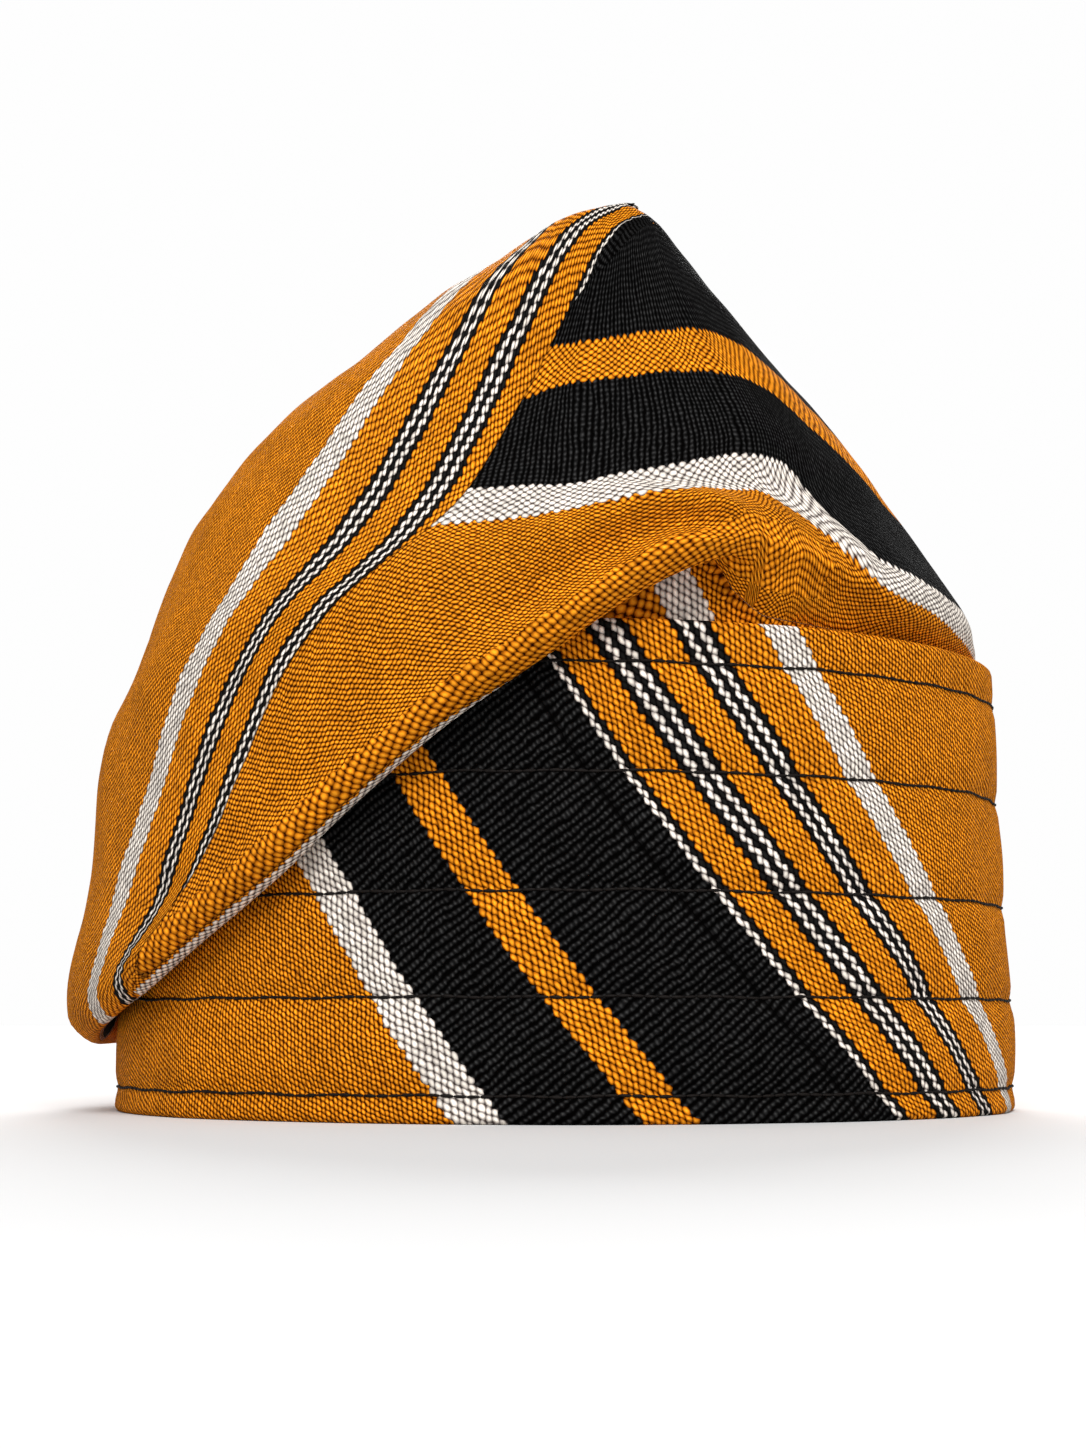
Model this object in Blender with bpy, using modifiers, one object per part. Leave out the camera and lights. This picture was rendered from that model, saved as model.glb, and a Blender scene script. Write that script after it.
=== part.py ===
"""A soft folded cap of striped cloth.

A stitched band stands round the head. A tall crown of the same cloth rises out of it, is pinched
to a ridge at the top, and is folded down over the left side as a deep flap with a rolled edge.

Metres, +Z up. The origin is on the surface that the cap stands on, under the middle of the cap's
own box, and the band's axis stands a little to its right, because the flap hangs out to the left.
The front of the cap faces -Y. Azimuths are in degrees round the band's axis: 0 is the front, 90 the
viewer's left (-X), 180 the back, and 270 or -90 the viewer's right (+X).
"""

import math
from collections import namedtuple

import bmesh
import bpy
from mathutils import Vector

# Where the band's axis stands
BAND_AXIS = (0.0050, -0.0001, 0.0)

# The band
BAND_HEIGHT = 0.091
BAND_HEM_RADIUS = 0.0944
BAND_TOP_RADIUS = 0.0909
BAND_TAPER_POWER = 1.2
BAND_WALL = 0.0030
BAND_EDGE_ROUND = 0.0012
BAND_HEM_CHAMFER = 0.0005
BAND_SIDES = 72
BAND_LEVELS = (0.004, 0.014, 0.032, 0.052, 0.072)
# The band's upper edge is pressed down where the flap hangs over it: nothing below RIM_DIP_FROM
# moves, and the dip starts and is full this many degrees from the front and from the back
RIM_DIP = 0.0155
RIM_DIP_FROM = 0.045
RIM_DIP_START = 12.0
RIM_DIP_FULL = 68.0

# The crown's cloth
CLOTH = 0.0012
# The gaps between crown and band: inside, over the band's edge, and low under the flap
SLIP_INSIDE = 0.0004
SLIP_HIGH = 0.0008
SLIP_LOW = 0.0010
# How far below the band's edge the crown starts, and where it begins to turn
TUBE_DEPTH = 0.018
TURN_DEPTH = 0.007
# The rounding of the turn over the band's edge and of the rolled edge
TURN_ROUND = 0.0028
ROLL_ROUND = 0.0050
# Where the flap's outer layer passes on its way from the roll to the shoulder, as shares of the
# way in and of the way up
FLAP_LOW = (0.35, 0.35)
FLAP_HIGH = (0.80, 0.78)
CROWN_SIDES = 72
# Rows of the crown's mesh on each span between two points of a column
CROWN_STEPS = (1, 1, 2, 1, 1, 1, 1, 2, 2, 1, 1, 2, 2, 1, 2, 2, 1, 1, 1)
# Columns that end nearer to each other than this on the ridge share one point
RIDGE_MERGE = 0.00005

# Where the crown leaves the band and folds, by azimuth. folded is 0 where the wall is plain and 1
# where it hangs over the band. roll_height is the rolled edge of the flap and valley_height the top
# of the turn over the band's edge. ledge is how far the under layer has moved out at the roll.
# puff_low and puff_high are how far the outer layer stands off it at the roll and at the shoulder,
# and groove how far it is drawn in just above the roll. A plain wall bulges by its puff_low.
FoldRow = namedtuple(
    "FoldRow",
    "azimuth folded roll_height valley_height ledge puff_low puff_high groove shoulder_radius shoulder_height",
)
FOLD = (
    FoldRow(-90, 0.0, 0.0970, 0.0980, 0.0030, 0.0, 0.0020, 0.0, 0.0850, 0.1000),
    FoldRow(-60, 0.0, 0.0990, 0.1000, 0.0030, 0.0028, 0.0030, 0.0, 0.0882, 0.1030),
    FoldRow(-40, 0.0, 0.1020, 0.1040, 0.0035, 0.0042, 0.0045, 0.0, 0.0904, 0.1070),
    FoldRow(-25, 0.0, 0.1020, 0.1065, 0.0035, 0.0048, 0.0055, 0.0005, 0.0926, 0.1120),
    FoldRow(-20, 0.30, 0.1020, 0.1070, 0.0030, 0.0056, 0.0060, 0.0012, 0.0934, 0.1135),
    FoldRow(-15, 1.0, 0.1005, 0.1075, 0.0020, 0.0070, 0.0064, 0.0022, 0.0940, 0.1145),
    FoldRow(-7, 1.0, 0.0940, 0.1070, 0.0008, 0.0088, 0.0070, 0.0018, 0.0948, 0.1140),
    FoldRow(2, 1.0, 0.0835, 0.1030, 0.0003, 0.0095, 0.0075, 0.0010, 0.0957, 0.1105),
    FoldRow(12, 1.0, 0.0722, 0.0985, 0.0, 0.0095, 0.0072, 0.0004, 0.0965, 0.1065),
    FoldRow(24, 1.0, 0.0565, 0.0935, 0.0, 0.0090, 0.0065, 0.0, 0.0965, 0.1025),
    FoldRow(33, 1.0, 0.0445, 0.0895, 0.0, 0.0085, 0.0060, 0.0, 0.0960, 0.0990),
    FoldRow(44, 1.0, 0.0335, 0.0860, 0.0, 0.0080, 0.0052, 0.0, 0.0950, 0.0960),
    FoldRow(58, 1.0, 0.0228, 0.0825, 0.0, 0.0080, 0.0046, 0.0, 0.0938, 0.0935),
    FoldRow(74, 1.0, 0.0165, 0.0805, 0.0, 0.0088, 0.0043, 0.0, 0.0922, 0.0905),
    FoldRow(90, 1.0, 0.0135, 0.0800, 0.0, 0.0094, 0.0042, 0.0, 0.0914, 0.0895),
    FoldRow(108, 1.0, 0.0140, 0.0808, 0.0, 0.0094, 0.0043, 0.0, 0.0917, 0.0905),
    FoldRow(126, 1.0, 0.0220, 0.0835, 0.0, 0.0088, 0.0048, 0.0, 0.0930, 0.0940),
    FoldRow(142, 1.0, 0.0380, 0.0880, 0.0, 0.0085, 0.0056, 0.0, 0.0940, 0.0975),
    FoldRow(158, 1.0, 0.0580, 0.0935, 0.0, 0.0090, 0.0065, 0.0, 0.0943, 0.1020),
    FoldRow(174, 1.0, 0.0770, 0.0995, 0.0004, 0.0095, 0.0070, 0.0006, 0.0940, 0.1065),
    FoldRow(188, 1.0, 0.0930, 0.1050, 0.0012, 0.0085, 0.0066, 0.0014, 0.0932, 0.1120),
    FoldRow(195, 1.0, 0.1000, 0.1068, 0.0020, 0.0070, 0.0062, 0.0018, 0.0924, 0.1130),
    FoldRow(200, 0.30, 0.1020, 0.1065, 0.0030, 0.0056, 0.0058, 0.0010, 0.0918, 0.1125),
    FoldRow(205, 0.0, 0.1020, 0.1060, 0.0035, 0.0048, 0.0052, 0.0004, 0.0912, 0.1115),
    FoldRow(220, 0.0, 0.1020, 0.1035, 0.0035, 0.0042, 0.0045, 0.0, 0.0894, 0.1070),
    FoldRow(240, 0.0, 0.0990, 0.1000, 0.0030, 0.0028, 0.0030, 0.0, 0.0880, 0.1030),
    FoldRow(270, 0.0, 0.0970, 0.0980, 0.0030, 0.0, 0.0020, 0.0, 0.0850, 0.1000),
)

# Level sections of the crown above its shoulder. The reaches are measured from centre, which moves
# towards the viewer's right with height. A bend of 2 is an ellipse, and more is squarer.
SectionRow = namedtuple(
    "SectionRow", "height centre reach_left reach_right reach_front reach_back bend_left bend_right"
)
SECTIONS = (
    SectionRow(0.1180, 0.0008, 0.0816, 0.0732, 0.0885, 0.0855, 2.05, 2.10),
    SectionRow(0.1280, 0.0015, 0.0762, 0.0644, 0.0840, 0.0810, 2.00, 2.30),
    SectionRow(0.1400, 0.0030, 0.0680, 0.0532, 0.0790, 0.0755, 1.95, 2.40),
    SectionRow(0.1530, 0.0062, 0.0554, 0.0388, 0.0745, 0.0710, 1.90, 2.40),
    SectionRow(0.1635, 0.0090, 0.0432, 0.0268, 0.0705, 0.0665, 1.90, 2.40),
    SectionRow(0.1710, 0.0114, 0.0325, 0.0182, 0.0672, 0.0630, 1.90, 2.30),
    SectionRow(0.1760, 0.0130, 0.0235, 0.0120, 0.0640, 0.0595, 2.00, 2.20),
)
# The pinched ridge runs from front to back. It turns a little with height from SKEW_FROM up, and
# falls by RIDGE_DROP towards the back
RIDGE_HEIGHT = 0.1785
RIDGE_CENTRE = 0.0158
RIDGE_FRONT = -0.0585
RIDGE_BACK = 0.0540
RIDGE_SKEW = 0.050
SKEW_FROM = 0.110
RIDGE_DROP = 0.0045
RIDGE_TILT_FROM = 0.145

# Soft lines down the crown, by height. lift is how far the cloth stands out there, or how far it is
# drawn in where it is negative, and spread how wide the line is, in degrees.
CreaseRow = namedtuple("CreaseRow", "height azimuth lift spread")
CORNER_CREST = (
    CreaseRow(0.1100, -38.0, 0.0, 14.0),
    CreaseRow(0.1220, -36.0, 0.0022, 14.0),
    CreaseRow(0.1360, -38.0, 0.0034, 14.0),
    CreaseRow(0.1530, -44.0, 0.0030, 15.0),
    CreaseRow(0.1680, -48.0, 0.0016, 16.0),
    CreaseRow(0.1800, -52.0, 0.0, 18.0),
)
SEAM_GROOVE = (
    CreaseRow(0.1080, 14.0, 0.0, 6.0),
    CreaseRow(0.1180, 11.5, -0.0022, 7.0),
    CreaseRow(0.1400, 5.0, -0.0016, 8.0),
    CreaseRow(0.1600, -6.0, -0.0010, 10.0),
    CreaseRow(0.1760, -20.0, 0.0, 12.0),
)
BACK_CREST = (
    CreaseRow(0.1150, 222.0, 0.0, 14.0),
    CreaseRow(0.1400, 222.0, 0.0024, 15.0),
    CreaseRow(0.1700, 228.0, 0.0, 16.0),
)


def mix(low, high, share):
    """The value at share of the way from low to high."""
    return low + (high - low) * share


def smoothstep(low, high, value):
    """0 below low, 1 above high and a smooth rise between them."""
    share = max(0.0, min(1.0, (value - low) / (high - low)))
    return share * share * (3 - 2 * share)


def table_value(rows, column, key):
    """A named column read at key from rows sorted by their first column, on a smooth curve."""
    keys = [row[0] for row in rows]
    values = [getattr(row, column) for row in rows]
    if key <= keys[0]:
        return values[0]
    if key >= keys[-1]:
        return values[-1]
    i = max(n for n in range(len(keys) - 1) if keys[n] <= key)

    def slope(n):
        if n == 0 or n == len(keys) - 1:
            return 0.0
        before = (values[n] - values[n - 1]) / (keys[n] - keys[n - 1])
        after = (values[n + 1] - values[n]) / (keys[n + 1] - keys[n])
        return 0.0 if before * after <= 0 else 2 * before * after / (before + after)

    span = keys[i + 1] - keys[i]
    t = (key - keys[i]) / span
    return (
        values[i] * (1 + 2 * t) * (1 - t) ** 2
        + slope(i) * span * t * (1 - t) ** 2
        + values[i + 1] * t * t * (3 - 2 * t)
        + slope(i + 1) * span * t * t * (t - 1)
    )


def band_radius(height):
    """The band's outer radius, which narrows upwards."""
    share = max(0.0, 1 - height / BAND_HEIGHT)
    return BAND_TOP_RADIUS + (BAND_HEM_RADIUS - BAND_TOP_RADIUS) * share**BAND_TAPER_POWER


def pressed_height(azimuth, height):
    """Where a level of the band lies once the flap has pressed the band's upper part down."""
    off_side = abs(azimuth - 90)
    share = 1 - smoothstep(90 - RIM_DIP_FULL, 90 - RIM_DIP_START, off_side)
    return height - RIM_DIP * share * smoothstep(RIM_DIP_FROM, BAND_HEIGHT, height)


def rim_height(azimuth):
    """The height of the band's upper edge, lower under the flap."""
    return pressed_height(azimuth, BAND_HEIGHT)


def crease_lift(column, height):
    """How far the soft lines down the crown move its wall out at an azimuth and a height."""
    lift = 0.0
    for crease in (CORNER_CREST, SEAM_GROOVE, BACK_CREST):
        off = column - table_value(crease, "azimuth", height)
        spread = table_value(crease, "spread", height)
        lift += table_value(crease, "lift", height) * math.exp(-((off / spread) ** 2))
    return lift


def polar(azimuth, radius, height):
    """The point at an azimuth, a radius and a height."""
    turn = math.radians(azimuth)
    return (-radius * math.sin(turn), -radius * math.cos(turn), height)


def tube_points(column):
    """The stretch of a column inside the band."""
    inset = BAND_WALL + SLIP_INSIDE
    heights = (BAND_HEIGHT - TUBE_DEPTH, BAND_HEIGHT - TURN_DEPTH)
    return [polar(column, band_radius(h) - inset, pressed_height(column, h)) for h in heights]


def fold_points(column):
    """The stretch of a column from the band's edge to the shoulder: over, down, round and up."""
    at = {name: table_value(FOLD, name, column) for name in FoldRow._fields[1:]}
    rim = rim_height(column)
    inner = BAND_TOP_RADIUS - BAND_WALL - SLIP_INSIDE
    valley, roll, shoulder = at["valley_height"], at["roll_height"], at["shoulder_height"]
    under_high = band_radius(valley) + SLIP_HIGH
    under_low = band_radius(roll) + SLIP_LOW + at["ledge"]
    valley_round = min(TURN_ROUND, 0.5 * (valley - roll))
    roll_round = min(ROLL_ROUND, 0.5 * (valley - roll))
    outer_low = under_low + at["puff_low"]
    outer_high = under_high + at["puff_high"]
    above_roll = roll + roll_round
    folded = (
        (inner, valley - valley_round),
        (mix(inner, under_high, 0.5), valley),
        (under_high, valley - valley_round),
        (mix(under_high, under_low, 0.5), mix(valley, roll, 0.5)),
        (under_low, above_roll),
        (mix(under_low, outer_low, 0.45), roll),
        (outer_low, above_roll),
        (
            mix(outer_low, outer_high, FLAP_LOW[0]) - at["groove"],
            mix(above_roll, shoulder, FLAP_LOW[1]),
        ),
        (mix(outer_low, outer_high, FLAP_HIGH[0]), mix(above_roll, shoulder, FLAP_HIGH[1])),
        (at["shoulder_radius"], shoulder),
    )
    start_height = rim - TURN_DEPTH
    points = []
    for n, (radius, height) in enumerate(folded):
        along = (n + 1) / len(folded)
        plain_height = mix(start_height, shoulder, along)
        share = max(0.0, (plain_height - rim) / (shoulder - rim))
        plain_radius = mix(inner, at["shoulder_radius"], smoothstep(0, 1, share))
        plain_radius += at["puff_low"] * math.sin(math.pi * share)
        r = mix(plain_radius, radius, at["folded"])
        h = mix(plain_height, height, at["folded"])
        points.append(polar(column, r, h))
    return points


def signed_power(value, power):
    """A power that keeps the sign."""
    return math.copysign(abs(value) ** power, value)


def ridge_drop(y, height):
    """How far the top falls towards the back at a depth and a height."""
    back = max(0.0, (y - RIDGE_FRONT) / (RIDGE_BACK - RIDGE_FRONT))
    return RIDGE_DROP * back**2 * smoothstep(RIDGE_TILT_FROM, RIDGE_HEIGHT, height)


def section_point(row, column):
    """The point of a level section at an azimuth."""
    turn = math.radians(column)
    power = 2 / (row.bend_left if math.sin(turn) > 0 else row.bend_right)
    sideways = signed_power(math.sin(turn), power)
    forwards = signed_power(math.cos(turn), power)
    y = -forwards * (row.reach_front if forwards > 0 else row.reach_back)
    skew = RIDGE_SKEW * smoothstep(SKEW_FROM, RIDGE_HEIGHT, row.height)
    x = row.centre + skew * y - sideways * (row.reach_left if sideways > 0 else row.reach_right)
    lift = crease_lift(column, row.height)
    x -= lift * math.sin(turn)
    y -= lift * math.cos(turn)
    return (x, y, row.height - ridge_drop(y, row.height))


def ridge_point(column):
    """The point of the ridge where a column ends. Columns from the left and the right meet there."""
    off_front = abs(column) if column <= 180 else 360 - column
    y = mix(RIDGE_FRONT, RIDGE_BACK, off_front / 180)
    return (RIDGE_CENTRE + RIDGE_SKEW * y, y, RIDGE_HEIGHT - ridge_drop(y, RIDGE_HEIGHT))


def column_points(column):
    """Every point that one column of the crown passes through, from inside the band to the ridge."""
    dome = [section_point(row, column) for row in SECTIONS]
    return tube_points(column) + fold_points(column) + dome + [ridge_point(column)]


def spline(points, steps):
    """Points on a smooth curve through the given ones. steps says how many lie on each span."""
    points = [Vector(point) for point in points]
    spans = [(after - before).length for before, after in zip(points, points[1:])]
    headings = [(points[1] - points[0]) / spans[0]]
    for i in range(1, len(points) - 1):
        headings.append((points[i + 1] - points[i - 1]) / (spans[i - 1] + spans[i]))
    headings.append((points[-1] - points[-2]) / spans[-1])
    found = []
    for i, count in enumerate(steps):
        leaving, arriving = headings[i] * spans[i], headings[i + 1] * spans[i]
        for n in range(count):
            t = n / count
            found.append(
                points[i] * (1 + 2 * t) * (1 - t) ** 2
                + leaving * t * (1 - t) ** 2
                + points[i + 1] * t * t * (3 - 2 * t)
                + arriving * t * t * (t - 1)
            )
    return found + [points[-1]]


def make_material(name, colour, roughness):
    """A plain cloth material."""
    material = bpy.data.materials.new(name)
    material.use_nodes = True
    shader = material.node_tree.nodes["Principled BSDF"]
    shader.inputs["Base Color"].default_value = (*colour, 1.0)
    shader.inputs["Roughness"].default_value = roughness
    shader.inputs["Metallic"].default_value = 0.0
    material.diffuse_color = (*colour, 1.0)
    return material


def add_object(name, mesh, material, collection):
    """A shown object of the cap."""
    obj = bpy.data.objects.new(name, mesh)
    obj.location = BAND_AXIS
    collection.objects.link(obj)
    mesh.materials.append(material)
    mesh.shade_smooth()
    return obj


def make_band(material, collection):
    """The stitched band: a turned wall whose upper edge is then pressed down under the flap."""
    top, edge = BAND_HEIGHT, BAND_EDGE_ROUND
    outside = [(band_radius(top - edge), top - edge)]
    outside += [(band_radius(h), h) for h in reversed(BAND_LEVELS)]
    outside += [(band_radius(0) - BAND_HEM_CHAMFER, edge)]
    inside = [(band_radius(h) - BAND_WALL, h) for h in (edge, *BAND_LEVELS, top - edge)]
    profile = [(band_radius(top) - edge, top), *outside, (band_radius(0) - edge, 0.0)]
    profile += [(band_radius(0) - BAND_WALL + edge, 0.0), *inside]
    profile += [(band_radius(top) - BAND_WALL + edge, top)]
    shape = bmesh.new()
    ring = [shape.verts.new((radius, 0, height)) for radius, height in profile]
    edges = [shape.edges.new(pair) for pair in zip(ring, ring[1:] + ring[:1])]
    bmesh.ops.spin(
        shape,
        geom=ring + edges,
        axis=(0, 0, 1),
        cent=(0, 0, 0),
        angle=2 * math.pi,
        steps=BAND_SIDES,
        use_merge=True,
    )
    for vert in shape.verts:
        azimuth = math.degrees(math.atan2(-vert.co.x, -vert.co.y))
        azimuth = azimuth if azimuth >= -90 else azimuth + 360
        vert.co.z = pressed_height(azimuth, vert.co.z)
    bmesh.ops.recalc_face_normals(shape, faces=shape.faces)
    mesh = bpy.data.meshes.new("band")
    shape.to_mesh(mesh)
    shape.free()
    return add_object("band", mesh, material, collection)


def make_crown(material, collection):
    """The crown: rings of one open sheet, drawn out ring by ring, with a wall of cloth."""
    columns = [-90 + 360 * n / CROWN_SIDES for n in range(CROWN_SIDES)]
    meridians = [spline(column_points(column), CROWN_STEPS) for column in columns]
    shape = bmesh.new()
    made = bmesh.ops.create_circle(shape, segments=CROWN_SIDES, radius=BAND_HEM_RADIUS)
    ring = made["verts"]
    start = ring[0]
    for vert, meridian in zip(ring, meridians):
        vert.co = meridian[0]
    edges = list(shape.edges)
    for level in range(1, len(meridians[0])):
        made = bmesh.ops.extrude_edge_only(shape, edges=edges)
        edges = [item for item in made["geom"] if isinstance(item, bmesh.types.BMEdge)]
        new = [item for item in made["geom"] if isinstance(item, bmesh.types.BMVert)]
        below = {vert: n for n, vert in enumerate(ring)}
        order = {}
        for vert in new:
            mates = [edge.other_vert(vert) for edge in vert.link_edges]
            order[vert] = next(below[mate] for mate in mates if mate in below)
        ring = sorted(new, key=order.get)
        for vert, meridian in zip(ring, meridians):
            vert.co = meridian[level]
    bmesh.ops.remove_doubles(shape, verts=ring, dist=RIDGE_MERGE)
    bmesh.ops.recalc_face_normals(shape, faces=shape.faces)
    facing = start.link_faces[0].normal
    if facing.x * start.co.x + facing.y * start.co.y < 0:
        bmesh.ops.reverse_faces(shape, faces=shape.faces)
    mesh = bpy.data.meshes.new("crown")
    shape.to_mesh(mesh)
    shape.free()
    crown = add_object("crown", mesh, material, collection)
    wall = crown.modifiers.new("cloth", "SOLIDIFY")
    wall.thickness = CLOTH
    wall.offset = -1.0
    return crown


def main():
    """Clears the scene and builds the cap."""
    for obj in list(bpy.data.objects):
        bpy.data.objects.remove(obj)
    collection = bpy.data.collections.new("folded_cap")
    bpy.context.scene.collection.children.link(collection)
    band_cloth = make_material("band_cloth", (0.62, 0.30, 0.03), 0.85)
    crown_cloth = make_material("crown_cloth", (0.64, 0.31, 0.03), 0.85)
    make_band(band_cloth, collection)
    make_crown(crown_cloth, collection)


main()
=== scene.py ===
"""The looks of a soft folded cap of striped, hand-woven cloth.

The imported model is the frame. The band and the folded crown are modelled again here as fine meshes on
the same forms, and dressed in a woven cloth: a ground of ochre floats with white, black and ochre
stripes that follow the cloth through its fold. Five rows of dark stitches run round the band.

Metres, +Z up, the front of the cap faces -Y. Azimuths are in degrees round the band's axis: 0 is the
front, 90 the viewer's left (-X), 180 the back, and 270 or -90 the viewer's right (+X). Cloth
coordinates are in millimetres: across runs over the stripes, and along follows them.
"""

from __future__ import annotations

import bisect
import logging
import math
from dataclasses import asdict, dataclass, field
from enum import Enum
from typing import Callable, NamedTuple, Sequence, TypeVar

import bmesh
import bpy
from mathutils import Matrix, Vector, noise


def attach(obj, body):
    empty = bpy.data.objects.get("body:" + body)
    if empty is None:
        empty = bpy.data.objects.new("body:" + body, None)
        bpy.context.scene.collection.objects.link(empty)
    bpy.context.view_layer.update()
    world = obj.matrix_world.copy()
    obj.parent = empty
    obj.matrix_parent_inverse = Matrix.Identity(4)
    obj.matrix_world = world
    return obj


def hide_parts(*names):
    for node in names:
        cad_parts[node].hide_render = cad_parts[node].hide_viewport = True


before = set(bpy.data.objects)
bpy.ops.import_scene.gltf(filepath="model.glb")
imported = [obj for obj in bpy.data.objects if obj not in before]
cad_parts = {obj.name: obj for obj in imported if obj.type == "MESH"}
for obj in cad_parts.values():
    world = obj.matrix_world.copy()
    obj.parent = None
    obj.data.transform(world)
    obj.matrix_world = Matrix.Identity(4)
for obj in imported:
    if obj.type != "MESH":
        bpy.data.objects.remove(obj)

Point = TypeVar("Point", float, Vector)

LOG = logging.getLogger("cap")

# Where the band's axis stands in the frame
BAND_AXIS = Vector((0.0050, -0.0001, 0.0))
MILLIMETRE = 0.001
# Points of a mesh that are closer than this are one point
MERGE = 0.00001
# A hair's breadth of cloth in mm, which keeps rounding from moving a stripe
HAIR = 0.01
# The least height between two points of a column, which keeps a share from dividing by nothing
LEAST_RISE = 1e-6


# Plain sums


def mix(low: float, high: float, share: float) -> float:
    """Gives the value at a share of the way from low to high."""
    return low + (high - low) * share


def smoothstep(low: float, high: float, value: float) -> float:
    """Gives a smooth rise from 0 at low to 1 at high."""
    share = max(0.0, min(1.0, (value - low) / (high - low)))
    return share * share * (3 - 2 * share)


def bell(centre: float, spread: float, value: float) -> float:
    """Gives a bump of height 1 round centre."""
    return math.exp(-(((value - centre) / spread) ** 2))


def window(rise: tuple[float, float], fall: tuple[float, float], value: float) -> float:
    """Gives a smooth rise from 0 to 1 and a smooth fall back to 0."""
    return smoothstep(*rise, value) * (1 - smoothstep(*fall, value))


def signed_power(share: float, power: float) -> float:
    """Raises a share from -1 to 1 to a power and keeps its sign."""
    return math.copysign(abs(share) ** power, share)


def eased(start: Point, leaving: Point, end: Point, arriving: Point, t: float) -> Point:
    """Gives a number or a point on a smooth span.

    Args:
        start: the value where the span starts.
        leaving: the slope there, for each whole span.
        end: the value where the span ends.
        arriving: the slope there.
        t: the share of the span, from 0 to 1.

    Returns:
        The value at that share.
    """
    return (
        start * (1 + 2 * t) * (1 - t) ** 2
        + leaving * t * (1 - t) ** 2
        + end * t * t * (3 - 2 * t)
        + arriving * t * t * (t - 1)
    )


class Curve:
    """A smooth curve through one column of a table, which never overshoots the table's rows."""

    def __init__(self, rows: Sequence[tuple], column: str) -> None:
        """Works out the curve's slope at each row.

        Args:
            rows: the table, sorted by its first column.
            column: the name of the column to follow.
        """
        self.keys = [row[0] for row in rows]
        self.values = [getattr(row, column) for row in rows]
        spans = zip(self.keys, self.keys[1:], self.values, self.values[1:])
        rates = [(high - low) / (after - before) for before, after, low, high in spans]
        self.slopes = [0.0]
        for before, after in zip(rates, rates[1:]):
            self.slopes.append(0.0 if before * after <= 0 else 2 * before * after / (before + after))
        self.slopes.append(0.0)

    def __call__(self, key: float) -> float:
        """Reads the curve, held level past both ends.

        Args:
            key: where the curve is read.

        Returns:
            The curve's value there.
        """
        if key <= self.keys[0]:
            return self.values[0]
        if key >= self.keys[-1]:
            return self.values[-1]
        i = bisect.bisect_right(self.keys, key) - 1
        span = self.keys[i + 1] - self.keys[i]
        leaving, arriving = self.slopes[i] * span, self.slopes[i + 1] * span
        return eased(self.values[i], leaving, self.values[i + 1], arriving, (key - self.keys[i]) / span)


def curves(rows: Sequence[tuple]) -> dict[str, Curve]:
    """Gives the curve of every named column of a table but its first."""
    return {name: Curve(rows, name) for name in rows[0]._fields[1:]}


def line_value(keys: Sequence[float], values: Sequence[float], key: float) -> float:
    """Reads a table on straight lines, drawn on past both ends."""
    i = max(0, min(len(keys) - 2, bisect.bisect_right(keys, key) - 1))
    return mix(values[i], values[i + 1], (key - keys[i]) / (keys[i + 1] - keys[i]))


def polar(azimuth: float, radius: float, height: float) -> tuple[float, float, float]:
    """Gives the point at an azimuth, a radius and a height."""
    turn = math.radians(azimuth)
    return (-radius * math.sin(turn), -radius * math.cos(turn), height)


def outwards(spot: Vector) -> Vector:
    """Gives the level direction from the band's axis to a place."""
    return Vector((spot.x - BAND_AXIS.x, spot.y - BAND_AXIS.y, 0.0)).normalized()


def table(kind: type, *rows: tuple[float, ...]) -> tuple:
    """Turns plain numbers into the named rows of a table."""
    return tuple(kind(*row) for row in rows)


# The forms, as in the part's source


@dataclass(frozen=True)
class BandForm:
    """The upright band's wall."""

    height: float = 0.091
    hem_radius: float = 0.0944
    top_radius: float = 0.0909
    taper_power: float = 1.2
    wall: float = 0.0030
    edge_round: float = 0.0012
    rim_dip: float = 0.0155
    dip_from: float = 0.045
    # The dip's middle, and how far off it the dip is full and gone, as azimuths
    dip_middle: float = 90.0
    dip_full: float = 22.0
    dip_gone: float = 78.0

    def radius(self, height: float) -> float:
        """Gives the outer radius, which narrows upwards."""
        share = max(0.0, 1 - height / self.height)
        return self.top_radius + (self.hem_radius - self.top_radius) * share**self.taper_power

    def pressed(self, azimuth: float, height: float) -> float:
        """Gives where a level lies once the flap has pressed the band's upper part down."""
        share = 1 - smoothstep(self.dip_full, self.dip_gone, abs(azimuth - self.dip_middle))
        return height - self.rim_dip * share * smoothstep(self.dip_from, self.height, height)

    def rim(self, azimuth: float) -> float:
        """Gives the height of the band's upper edge."""
        return self.pressed(azimuth, self.height)


class FoldRow(NamedTuple):
    """Where the crown leaves the band and folds, at one azimuth."""

    azimuth: float
    folded: float
    roll_height: float
    valley_height: float
    ledge: float
    puff_low: float
    puff_high: float
    groove: float
    shoulder_radius: float
    shoulder_height: float


class SectionRow(NamedTuple):
    """A level section of the crown above its shoulder."""

    height: float
    centre: float
    reach_left: float
    reach_right: float
    reach_front: float
    reach_back: float
    bend_left: float
    bend_right: float


class CreaseRow(NamedTuple):
    """A soft line down the crown, at one height."""

    height: float
    azimuth: float
    lift: float
    spread: float


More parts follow.
